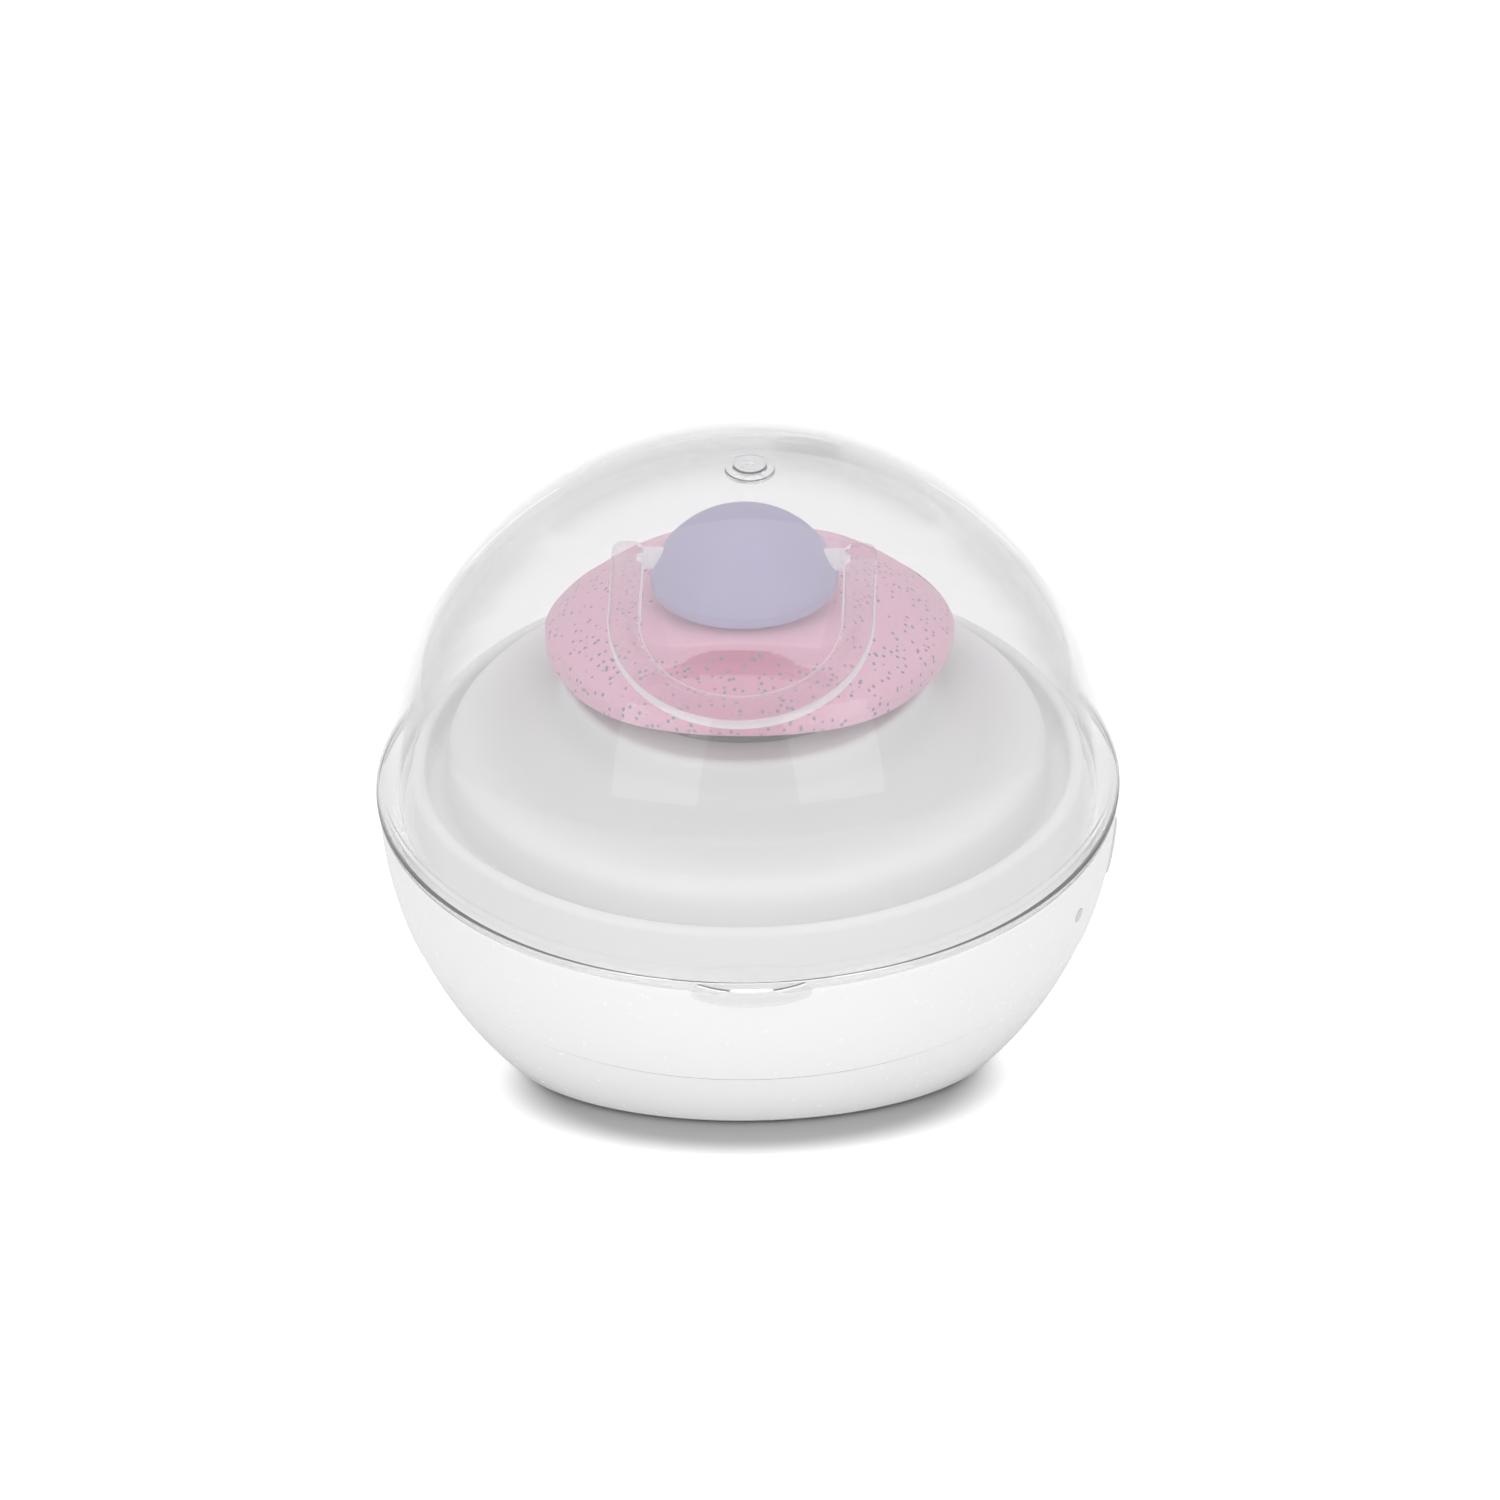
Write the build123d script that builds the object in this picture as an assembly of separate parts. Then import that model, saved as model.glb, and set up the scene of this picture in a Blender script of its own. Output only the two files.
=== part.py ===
"""Ball-shaped ultraviolet sterilizer case that holds one pacifier, teat down, under a clear hinged dome.

Frame: millimetres, +Z up, front towards -Y, origin at the centre of the rest face on the floor.
The case is a ball whose parting plane leans forward. Most pieces are drawn in the ball's own leaning frame
(centre of the ball as origin, x to the right, y to the rear within the parting plane, z up the lean) and
are set upright at the end. A half-section point is (radius, height) in that frame.
"""

from build123d import *
from math import asin, cos, degrees, radians, sin, sqrt
import os

# --- the ball and how it stands ---
BALL_RADIUS = 42.0
BALL_HEIGHT = 31.2          # ball centre above the floor
LEAN = 16.5                 # forward lean of the parting plane, degrees
RUNNING_GAP = 0.05          # radial clearance of pins that turn or slide
FIT_GAP = 0.15              # clearance between seated mouldings
MOVING_GAP = 0.3            # clearance between bodies that pass each other

# --- clear lid ---
LID_WALL = 2.4
LID_LIFT = 0.25             # lid rim above the parting plane
BEAD_PROUD = 0.35
BEAD_HEIGHT = 1.2
TAB_RADIUS = 11.5
TAB_REACH = 1.8             # thumb tab beyond the ball
TAB_DROP = 0.9              # thumb tab below the parting plane
TAB_RISE = 1.3
TAB_ROUND = 0.6
VENT_TILT = (2.3, 1.1)      # vent's axis from the lean axis, towards the front and the right, degrees
VENT_RADIUS = 2.75
VENT_PROUD = 0.35
VENT_CAP_RADIUS = 1.9
VENT_CAP_PROUD = 0.45
VENT_DIMPLE_RADIUS = 0.5
MAGNET_RADIUS = 2.5
MAGNET_THICKNESS = 1.5
MAGNET_X = 5.0
MAGNET_HEIGHT = 3.7
MAGNET_WALL = 0.6

# --- rear hinge ---
PIN_RADIUS = 1.0
KNUCKLE_RADIUS = 2.5
HINGE_DROP = 0.8            # hinge axis below the parting plane
LID_KNUCKLE_LENGTH = 11.8
SIDE_KNUCKLE_LENGTH = 4.8
HINGE_ARM_RISE = 1.7

# --- outer band ---
BAND_WALL = 2.0
BAND_DEPTH = 13.0           # parting plane down to the lower seam
SEAM_GAP = 0.2
BAND_EDGE_ROUND = 0.4
LEDGE_WIDTH = 2.6
LEDGE_THICKNESS = 1.6

# --- bottom cup ---
CUP_SETBACK = 0.15          # the cup's skin lies this much inside the band's
CUP_WALL = 2.0
BASE_LIFT = 0.4             # flat bottom above the floor
BASE_EDGE_ROUND = 0.8
FLOOR_WALL = 2.4
LIP_WALL = 1.5
LIP_RISE = 1.4
PAD_INSET = 1.53            # pad's rim inside the edge of the flat
PAD_THICKNESS = 1.0
SCREW_CIRCLE = 22.0
SCREW_ANGLES = (270, 4, 176)
SCREW_RADIUS = 1.0
SCREW_SHANK = 11.0
SCREW_HEAD_RADIUS = 1.9
SCREW_HEAD_HEIGHT = 1.6
DRIVE_RADIUS = 0.8
DRIVE_DEPTH = 0.8
POST_RADIUS = 2.7
POST_WEB = 3.6              # post material between the screw head and the main board

# --- inner tray: collar, valley, hill, pedestal and well ---
TRAY_WALL = 1.6
COLLAR_GAP = 1.6            # collar inside the lid
COLLAR_HEIGHT = 5.6
VALLEY_HEIGHT = 2.4
VALLEY_WIDTH = 2.1
HILL_RUN = 0.7              # valley's inner edge to the shoulder
SHOULDER_HEIGHT = 8.3
SHELF_WIDTH = 6.4           # shoulder to the crease at the foot of the pedestal
CREASE_HEIGHT = 9.3
PEDESTAL_RADIUS = 20.4
PEDESTAL_HEIGHT = 15.6
FLARE_RADIUS = 21.4
FLARE_HEIGHT = 11.3
WELL_MOUTH_RADIUS = 15.6
WELL_FLOOR_RADIUS = 15.5
WELL_DEPTH = 7.5            # well floor below the parting plane
WINDOW_APERTURE = 10.0
BOSS_RADIUS = 2.6
BOSS_SINK = 0.1             # boss top under the crease

# --- ultraviolet lamp under the well ---
REFLECTOR_WALL = 0.4
REFLECTOR_TOP = 13.5
GASKET_THICKNESS = 0.5
WINDOW_RADIUS = 12.6
WINDOW_THICKNESS = 1.5
SPACER_WIDTH = 1.9
SPACER_HEIGHT = 1.8
LED_BOARD_RADIUS = 17.0
LED_BOARD_THICKNESS = 1.2
LED_SIDE = 3.5
LED_HEIGHT = 1.2
LED_CIRCLE = 5.0
LED_ANGLES = (90, 210, 330)
LAMP_SCREW_CIRCLE = 15.1
LAMP_SCREW_ANGLES = (30, 150, 270)
LAMP_SCREW_RADIUS = 0.8
LAMP_SCREW_SHANK = 4.0
LAMP_HEAD_RADIUS = 1.4
LAMP_HEAD_HEIGHT = 1.0
LAMP_BOSS_RADIUS = 1.7

# --- ring-shaped main board ---
BOARD_TOP = -10.2
BOARD_THICKNESS = 1.2
BOARD_MARGIN = 4.0          # board's rim to the band's inner face
BOARD_INNER = 18.8
BOARD_TONGUE_WIDTH = 12.0
BOARD_TONGUE_MARGIN = 2.4   # tongue's end to the band's inner face
USB_WIDTH = 8.94
USB_HEIGHT = 3.26
USB_LENGTH = 7.35
USB_SHELL = 0.3
USB_TONGUE_WIDTH = 6.7
USB_TONGUE_THICKNESS = 0.7
USB_INSET = 2.05            # socket mouth inside the ball
PORT_GAP = 0.22
PORT_RECESS_WIDTH = 11.8
PORT_RECESS_HEIGHT = 6.4
PORT_LIP = 0.25             # recess floor beyond the socket mouth
SENSOR_X = 7.5
SENSOR_INSET = 1.0          # sensor and status light inside the board's rim
SENSOR_SIZE = (4.0, 1.5, 3.0)
SENSOR_BASE = -6.6
SENSOR_LEG_PITCH = 1.27
SENSOR_LEG = 0.45
CHIP_SIDE = 5.0
CHIP_HEIGHT = 0.9
COIL_SIDE = 4.0
COIL_HEIGHT = 1.9
CHIP_CIRCLE = 27.0
CONTROLLER_ANGLE = 200
CHARGER_ANGLE = 60
COIL_ANGLE = 120
PLUG_ANGLE = 232
PLUG_SIZE = (6.0, 4.5, 3.2)

# --- power button and its switch ---
BUTTON_Y = -3.0
BUTTON_Z = -7.4
BUTTON_RADIUS = 3.2
BUTTON_PROUD = 0.3
BUTTON_HOLE_GAP = 0.2
BUTTON_TRAVEL = 0.5
BUTTON_FLANGE_RADIUS = 3.9
BUTTON_FLANGE_THICKNESS = 0.8
BUTTON_SETBACK = 2.3        # flange face to the band's inner face
BUTTON_STEM_RADIUS = 1.4
PLUNGER_RADIUS = 1.0
BUTTON_STEM_LENGTH = 0.8
PLUNGER_LENGTH = 2.3
PLUNGER_PROUD = 0.9         # plunger beyond the switch
SWITCH_DEPTH = 3.8
SWITCH_WIDTH = 5.8
SWITCH_HEIGHT = 4.4

# --- status light ---
LIGHT_AZIMUTH = -28.0       # from +x towards the front, degrees
LIGHT_Z = -5.8
LIGHT_RADIUS = 0.8
LIGHT_PROUD = 0.05
STATUS_LED_SIZE = (1.6, 3.0, 0.9)

# --- battery ---
BATTERY_SIZE = (35.0, 25.0, 6.0)
BATTERY_Y = 4.0
BATTERY_ROUND = 1.2
TAPE_THICKNESS = 0.8
LEAD_RADIUS = 0.55
LEAD_PITCH = 1.6
LEAD_STRAIGHT = 2.6
LEAD_BEND = 1.6

# --- pacifier, teat down on the pedestal ---
PACIFIER_TURN = -3.0        # about the lean axis, degrees
SHIELD_SEAT = 19.45         # middle of the shield's underside above the parting plane
SHIELD_UNDER_BEND = 54.1    # underside's bend from side to side
SHIELD_UNDER_LONG_BEND = 220.0
SHIELD_TOP = 26.08          # crown of the shield's upper face
SHIELD_BEND = 33.9          # upper face's bend from side to side
SHIELD_LONG_BEND = 46.9     # upper face's bend from front to rear
SHIELD_CROWN = 2.8          # crown behind the lean axis
SHIELD_HALF_WIDTH = 23.3
SHIELD_WIDEST_Y = 9.5
SHIELD_FRONT_Y = -19.8
SHIELD_LOBE = (12.5, 23.6)
SHIELD_NOTCH_Y = 19.0
SHIELD_MARGIN = 4.0         # stock beyond the lobes, trimmed away by the outline
HUB_HALF_WIDTH = 12.7
HUB_HALF_DEPTH = 12.4
HUB_CORNER = 7.0
HUB_TOP = 26.2
HUB_TAPER = 9.0
HUB_EDGE_ROUND = 0.5
HUB_BORE = 8.9
TEAT_WEB = 1.0              # shield material under the teat's flange
TEAT_WALL = 1.2
TEAT_FLANGE_RADIUS = 8.7
TEAT_FLANGE_THICKNESS = 1.6
TEAT_NECK_RADIUS = 6.0
TEAT_NECK_LENGTH = 6.0
TEAT_BULB_RADIUS = 8.4
TEAT_BULB_HEIGHT = 2.4
KNOB_RADIUS = 10.4
KNOB_BOTTOM = 26.35
KNOB_SKIRT = 1.4
KNOB_TOP = 34.75
KNOB_EDGE_ROUND = 0.5
KNOB_PLUG_RADIUS = 8.7
KNOB_NUB_RADIUS = 4.6
KNOB_NUB_LENGTH = 4.0
RING_OUTER = 14.6
RING_INNER = 10.95
RING_THICKNESS = 2.6
RING_ROUND = 0.9
RING_LEG = 8.7              # pivot to the centre of the ring's round front
RING_TAIL = 1.9             # leg beyond the pivot
RING_DROOP = 19.9           # ring below the parting plane's direction, degrees
RING_PIVOT_HEIGHT = 29.3
RING_BOSS_RADIUS = 1.8
RING_BOSS_X = 10.7
RING_PIN_RADIUS = 1.2
RING_PIN_TIP = 7.6

# --- derived places ---
LID_INNER = BALL_RADIUS - LID_WALL
HINGE_Y = BALL_RADIUS + BEAD_PROUD + KNUCKLE_RADIUS + RUNNING_GAP
BAND_INNER = BALL_RADIUS - BAND_WALL
CUP_RADIUS = BALL_RADIUS - CUP_SETBACK
CUP_INNER = CUP_RADIUS - CUP_WALL
FLAT_RADIUS = sqrt(CUP_RADIUS**2 - (BALL_HEIGHT - BASE_LIFT) ** 2)
PAD_RADIUS = FLAT_RADIUS - PAD_INSET
CUP_TOP = -BAND_DEPTH - SEAM_GAP / 2
BAND_BOTTOM = -BAND_DEPTH + SEAM_GAP / 2
LIP_OUTER = BAND_INNER - FIT_GAP
FLANGE_RADIUS = BAND_INNER - FIT_GAP
CASE_FLOOR = BASE_LIFT + FLOOR_WALL
COLLAR_RADIUS = LID_INNER - COLLAR_GAP
VALLEY_OUTER = COLLAR_RADIUS - TRAY_WALL
VALLEY_INNER = VALLEY_OUTER - VALLEY_WIDTH
SHOULDER_RADIUS = VALLEY_INNER - HILL_RUN
CREASE_RADIUS = SHOULDER_RADIUS - SHELF_WIDTH
BOSS_TOP = CREASE_HEIGHT - BOSS_SINK
BOARD_OUTER = BAND_INNER - BOARD_MARGIN
BOARD_BOTTOM = BOARD_TOP - BOARD_THICKNESS
HEAD_SEAT = BOARD_BOTTOM - POST_WEB
WELL_FLOOR_BOTTOM = -WELL_DEPTH - TRAY_WALL
GASKET_BOTTOM = WELL_FLOOR_BOTTOM - GASKET_THICKNESS
WINDOW_BOTTOM = GASKET_BOTTOM - WINDOW_THICKNESS
LED_BOARD_TOP = WINDOW_BOTTOM - SPACER_HEIGHT
LED_BOARD_BOTTOM = LED_BOARD_TOP - LED_BOARD_THICKNESS
USB_Z = BOARD_TOP + USB_HEIGHT / 2
USB_MOUTH = BALL_RADIUS - USB_INSET
RIM_PART_REACH = BOARD_OUTER - SENSOR_INSET
BUTTON_FLANGE_X = BAND_INNER - BUTTON_SETBACK
PLUNGER_TIP_X = BUTTON_FLANGE_X - BUTTON_FLANGE_THICKNESS - BUTTON_STEM_LENGTH
SWITCH_FACE_X = PLUNGER_TIP_X - PLUNGER_PROUD
BATTERY_BOTTOM = CASE_FLOOR + TAPE_THICKNESS
TEAT_SEAT = SHIELD_SEAT + TEAT_WEB
TEAT_TOP = TEAT_SEAT + TEAT_FLANGE_THICKNESS
FAR = 4 * BALL_RADIUS
SHIELD_REACH = SHIELD_LOBE[1] + SHIELD_MARGIN

CENTRED_UP = (Align.CENTER, Align.CENTER, Align.MIN)
UPRIGHT = Location((0, 0, BALL_HEIGHT), (LEAN, 0, 0))


def turned(*curves):
    """Solid of revolution about the lean axis from the curves that close its half-section."""
    return revolve(Plane.XZ * make_face([edge for curve in curves for edge in curve.edges()]), Axis.Z)


def on_ball(radius, height):
    """Half-section point on a ball of this radius."""
    return (sqrt(radius**2 - height**2), height)


def ball_arc(radius, low, high):
    """Half-section arc on a ball of this radius, from one height to another."""
    return ThreePointArc(on_ball(radius, low), on_ball(radius, (low + high) / 2), on_ball(radius, high))


def shell_ring(outer, inner, low, high):
    """Ring between two concentric balls and two heights."""
    return turned(
        ball_arc(outer, low, high),
        Line(on_ball(outer, high), on_ball(inner, high)),
        ball_arc(inner, high, low),
        Line(on_ball(inner, low), on_ball(outer, low)),
    )


def flat_ring(outer, inner, low, high):
    """Plain ring about the lean axis."""
    return Pos(0, 0, low) * (
        Cylinder(outer, high - low, align=CENTRED_UP) - Cylinder(inner, high - low, align=CENTRED_UP)
    )


def around(radius, angles):
    """Places on a circle about the lean axis."""
    return [Pos(radius * cos(radians(a)), radius * sin(radians(a)), 0) for a in angles]


def rod(radius, low, high):
    """Rod along the lean axis."""
    return Pos(0, 0, low) * Cylinder(radius, high - low, align=CENTRED_UP)


def rod_x(radius, start, end):
    """Rod along x."""
    return Pos(start, 0, 0) * Rot(0, 90, 0) * Cylinder(radius, end - start, align=CENTRED_UP)


def block(x, y, z):
    """Box from three (low, high) pairs."""
    centre = [(low + high) / 2 for low, high in (x, y, z)]
    return Pos(*centre) * Box(x[1] - x[0], y[1] - y[0], z[1] - z[0])


def solids(shape):
    """One compound of a shape's separate solids."""
    return Compound(children=list(shape.solids()))


def hinge_knuckle(start, end):
    """One hinge barrel along x, without its bore."""
    return Pos(0, HINGE_Y, -HINGE_DROP) * rod_x(KNUCKLE_RADIUS, start, end)


def hinge_bore(radius):
    return Pos(0, HINGE_Y, -HINGE_DROP) * rod_x(radius, -BALL_RADIUS, BALL_RADIUS)


def lid_magnet_seat(radius, face, depth):
    """Cylinder of the magnet's seat, along y, from its front face rearwards."""
    return Pos(MAGNET_X, face, MAGNET_HEIGHT) * Rot(-90, 0, 0) * Cylinder(radius, depth, align=CENTRED_UP)


def magnet_face():
    """Front face of the magnet, sunk in the lid's wall until only the cover behind it is left."""
    reach = (MAGNET_HEIGHT + MAGNET_RADIUS) ** 2 + (MAGNET_X + MAGNET_RADIUS) ** 2
    return sqrt((BALL_RADIUS - MAGNET_WALL) ** 2 - reach) - MAGNET_THICKNESS


def lid_dome():
    bead_top = LID_LIFT + BEAD_HEIGHT
    dome = turned(
        Line(on_ball(LID_INNER, LID_LIFT), on_ball(BALL_RADIUS, LID_LIFT)),
        ThreePointArc(
            on_ball(BALL_RADIUS, LID_LIFT),
            (BALL_RADIUS + BEAD_PROUD, LID_LIFT + BEAD_HEIGHT / 2),
            on_ball(BALL_RADIUS, bead_top),
        ),
        ball_arc(BALL_RADIUS, bead_top, BALL_RADIUS),
        Line((0, BALL_RADIUS), (0, LID_INNER)),
        ball_arc(LID_INNER, LID_INNER, LID_LIFT),
    )
    return dome + lid_vent() + lid_tab() + lid_hinge_arm() + lid_magnet_boss() - lid_cuts()


def vent_axis():
    return Rot(VENT_TILT[0], VENT_TILT[1], 0)


def lid_vent():
    """Round vent boss at the top: a low disc with a smaller rounded cap on it."""
    disc = rod(VENT_RADIUS, LID_INNER + LID_WALL / 2, BALL_RADIUS + VENT_PROUD)
    cap = rod(VENT_CAP_RADIUS, BALL_RADIUS, BALL_RADIUS + VENT_PROUD + VENT_CAP_PROUD)
    return vent_axis() * (disc + fillet(cap.edges().group_by(Axis.Z)[-1], VENT_CAP_PROUD * 0.7))


def lid_tab():
    """Crescent thumb tab at the front, hanging in front of the band."""
    height = TAB_DROP + TAB_RISE
    disc = Cylinder(TAB_RADIUS, height, align=CENTRED_UP)
    disc = fillet(disc.edges().filter_by(GeomType.CIRCLE), TAB_ROUND)
    tab = Pos(0, TAB_RADIUS - BALL_RADIUS - TAB_REACH, -TAB_DROP) * disc
    tab -= Sphere(BALL_RADIUS + MOVING_GAP) & below(LID_LIFT)
    tab -= Sphere(BALL_RADIUS - LID_WALL / 2)
    return tab & Pos(0, -FAR / 2, 0) * Box(FAR, FAR, FAR)


def lid_hinge_arm():
    """Middle hinge barrel and the arm that carries it."""
    half = LID_KNUCKLE_LENGTH / 2
    arm = block((-half, half), (BALL_RADIUS - LID_WALL, HINGE_Y), (LID_LIFT, HINGE_ARM_RISE))
    return (arm - Sphere(BALL_RADIUS - LID_WALL / 2)) + hinge_knuckle(-half, half)


def lid_magnet_boss():
    """Low boss inside the rear wall around the seat of the interlock magnet."""
    radius = MAGNET_RADIUS + MAGNET_WALL
    boss = lid_magnet_seat(radius, magnet_face(), BALL_RADIUS)
    return boss & Sphere(BALL_RADIUS - LID_WALL / 2)


def lid_cuts():
    """Pin bore, magnet pocket and the dimple in the vent cap."""
    dimple = vent_axis() * Pos(0, 0, BALL_RADIUS + VENT_PROUD + VENT_CAP_PROUD) * Sphere(VENT_DIMPLE_RADIUS)
    pocket = lid_magnet_seat(MAGNET_RADIUS, magnet_face(), MAGNET_THICKNESS)
    return hinge_bore(PIN_RADIUS + RUNNING_GAP) + dimple + pocket


def lid_magnet():
    return lid_magnet_seat(MAGNET_RADIUS, magnet_face(), MAGNET_THICKNESS)


def hinge_pin():
    half = LID_KNUCKLE_LENGTH / 2 + MOVING_GAP + SIDE_KNUCKLE_LENGTH
    return Pos(0, HINGE_Y, -HINGE_DROP) * rod_x(PIN_RADIUS, -half, half)


def outer_band():
    top = BAND_EDGE_ROUND
    band = turned(
        ball_arc(BALL_RADIUS, BAND_BOTTOM, -top),
        ThreePointArc(
            on_ball(BALL_RADIUS, -top),
            (BALL_RADIUS - 0.29 * top, -0.29 * top),
            (BALL_RADIUS - top, 0),
        ),
        Line((BALL_RADIUS - top, 0), (BAND_INNER, 0)),
        ball_arc(BAND_INNER, 0, BAND_BOTTOM),
        Line(on_ball(BAND_INNER, BAND_BOTTOM), on_ball(BALL_RADIUS, BAND_BOTTOM)),
    )
    ledge = flat_ring(BAND_INNER + BAND_WALL / 2, BAND_INNER - LEDGE_WIDTH, -TRAY_WALL - LEDGE_THICKNESS, -TRAY_WALL)
    band += ledge & Sphere(BAND_INNER + BAND_WALL / 2)
    for side in (-1, 1):
        band += band_knuckle(side)
    return band - hinge_bore(PIN_RADIUS) - button_hole() - port_cut() - light_hole(LIGHT_RADIUS)


def band_knuckle(side):
    """Outer hinge barrel with its arm, on one side."""
    near = LID_KNUCKLE_LENGTH / 2 + MOVING_GAP
    far = near + SIDE_KNUCKLE_LENGTH
    start, end = (near, far) if side > 0 else (-far, -near)
    arm = block((start, end), (BAND_INNER, HINGE_Y), (-HINGE_DROP - KNUCKLE_RADIUS, -HINGE_DROP / 2))
    return (arm - Sphere(BALL_RADIUS - BAND_WALL / 2)) + hinge_knuckle(start, end)


def button_hole():
    return Pos(0, BUTTON_Y, BUTTON_Z) * rod_x(BUTTON_RADIUS + BUTTON_HOLE_GAP, BUTTON_FLANGE_X, FAR)


def rounded_bar(width, height, start, end):
    """Bar along y with round ends in x, centred on the port."""
    outline = Plane.XZ * SlotOverall(width, height)
    return Pos(0, end, USB_Z) * extrude(outline, end - start)


def port_cut():
    """Slot for the charging socket and the wider recess for the plug's grip."""
    slot = rounded_bar(USB_WIDTH + 2 * PORT_GAP, USB_HEIGHT + 2 * PORT_GAP, BAND_INNER - LEDGE_WIDTH, FAR)
    recess = rounded_bar(PORT_RECESS_WIDTH, PORT_RECESS_HEIGHT, USB_MOUTH + PORT_LIP, FAR)
    return slot + recess


def light_axis():
    """Location whose z runs outwards through the status light."""
    elevation = degrees(asin(LIGHT_Z / BALL_RADIUS))
    return Rot(0, 0, LIGHT_AZIMUTH) * Rot(0, 90 - elevation, 0)


def light_hole(radius):
    return light_axis() * rod(radius, BAND_INNER - LEDGE_WIDTH, FAR)


def status_light():
    """Clear light guide: a rod through the band and a foot down to its LED."""
    foot_bottom = BOARD_TOP + STATUS_LED_SIZE[2] + FIT_GAP
    guide = light_axis() * rod(LIGHT_RADIUS, RIM_PART_REACH, FAR) & Sphere(BALL_RADIUS + LIGHT_PROUD)
    foot = around(RIM_PART_REACH, [LIGHT_AZIMUTH])[0] * rod(LIGHT_RADIUS, foot_bottom, LIGHT_Z + LIGHT_RADIUS)
    return guide + foot


def status_led():
    x, y, z = STATUS_LED_SIZE
    place = Rot(0, 0, LIGHT_AZIMUTH) * Pos(RIM_PART_REACH, 0, BOARD_TOP)
    return place * Box(x, y, z, align=CENTRED_UP)


def power_button():
    """Domed cap, retaining flange and stem, along x."""
    cap = rod_x(BUTTON_RADIUS, BUTTON_FLANGE_X, FAR)
    flange = rod_x(BUTTON_FLANGE_RADIUS, BUTTON_FLANGE_X - BUTTON_FLANGE_THICKNESS, BUTTON_FLANGE_X)
    stem = rod_x(BUTTON_STEM_RADIUS, PLUNGER_TIP_X, BUTTON_FLANGE_X)
    return Pos(0, BUTTON_Y, BUTTON_Z) * (cap + flange + stem) & Sphere(BALL_RADIUS + BUTTON_PROUD)


def switch_plunger():
    return Pos(0, BUTTON_Y, BUTTON_Z) * rod_x(PLUNGER_RADIUS, PLUNGER_TIP_X - PLUNGER_LENGTH, PLUNGER_TIP_X)


def push_switch():
    half = SWITCH_WIDTH / 2
    body = block(
        (SWITCH_FACE_X - SWITCH_DEPTH, SWITCH_FACE_X),
        (BUTTON_Y - half, BUTTON_Y + half),
        (BOARD_TOP, BOARD_TOP + SWITCH_HEIGHT),
    )
    bore_start = PLUNGER_TIP_X - PLUNGER_LENGTH - BUTTON_TRAVEL - MOVING_GAP
    return body - Pos(0, BUTTON_Y, BUTTON_Z) * rod_x(PLUNGER_RADIUS + RUNNING_GAP, bore_start, SWITCH_FACE_X)


def case_interior(radius, floor):
    """Ball of this radius above a level floor, in the leaning frame."""
    level = UPRIGHT.inverse() * Pos(0, 0, floor) * Box(FAR, FAR, FAR, align=CENTRED_UP)
    return Sphere(radius) & level


def below(height):
    """Everything under a height in the leaning frame."""
    return Pos(0, 0, height) * Box(FAR, FAR, FAR, align=(Align.CENTER, Align.CENTER, Align.MAX))


def bottom_cup():
    outer = case_interior(CUP_RADIUS, BASE_LIFT)
    rim = outer.edges().filter_by(GeomType.CIRCLE)
    outer = fillet(rim, BASE_EDGE_ROUND) & below(CUP_TOP)
    cup = outer - case_interior(CUP_INNER, CASE_FLOOR)
    for place in around(SCREW_CIRCLE, SCREW_ANGLES):
        post = place * rod(POST_RADIUS, -BALL_RADIUS, BOARD_BOTTOM)
        cup += post & case_interior(CUP_RADIUS - CUP_WALL / 2, BASE_LIFT + FLOOR_WALL / 2)
    lip_root = CUP_TOP - LIP_RISE
    cup += shell_ring(LIP_OUTER, LIP_OUTER - LIP_WALL, lip_root, -BAND_DEPTH + LIP_RISE)
    cup += shell_ring(CUP_RADIUS - CUP_WALL / 2, LIP_OUTER - LIP_WALL, lip_root, CUP_TOP)
    for place in around(SCREW_CIRCLE, SCREW_ANGLES):
        cup -= place * rod(SCREW_RADIUS + FIT_GAP, HEAD_SEAT, BOARD_BOTTOM)
        cup -= place * rod(SCREW_HEAD_RADIUS + FIT_GAP, -BALL_RADIUS, HEAD_SEAT)
    return cup - grip_pad_disc(PAD_RADIUS + FIT_GAP)


def grip_pad_disc(radius):
    """Level disc on the floor under the case."""
    return UPRIGHT.inverse() * Cylinder(radius, PAD_THICKNESS, align=CENTRED_UP)


def grip_pad():
    return grip_pad_disc(PAD_RADIUS)


def case_screws():
    head = rod(SCREW_HEAD_RADIUS, HEAD_SEAT - SCREW_HEAD_HEIGHT, HEAD_SEAT)
    drive = rod(DRIVE_RADIUS, HEAD_SEAT - SCREW_HEAD_HEIGHT, HEAD_SEAT - SCREW_HEAD_HEIGHT + DRIVE_DEPTH)
    screw = head + rod(SCREW_RADIUS, HEAD_SEAT, HEAD_SEAT + SCREW_SHANK) - drive
    return Compound(children=[place * screw for place in around(SCREW_CIRCLE, SCREW_ANGLES)])


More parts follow.
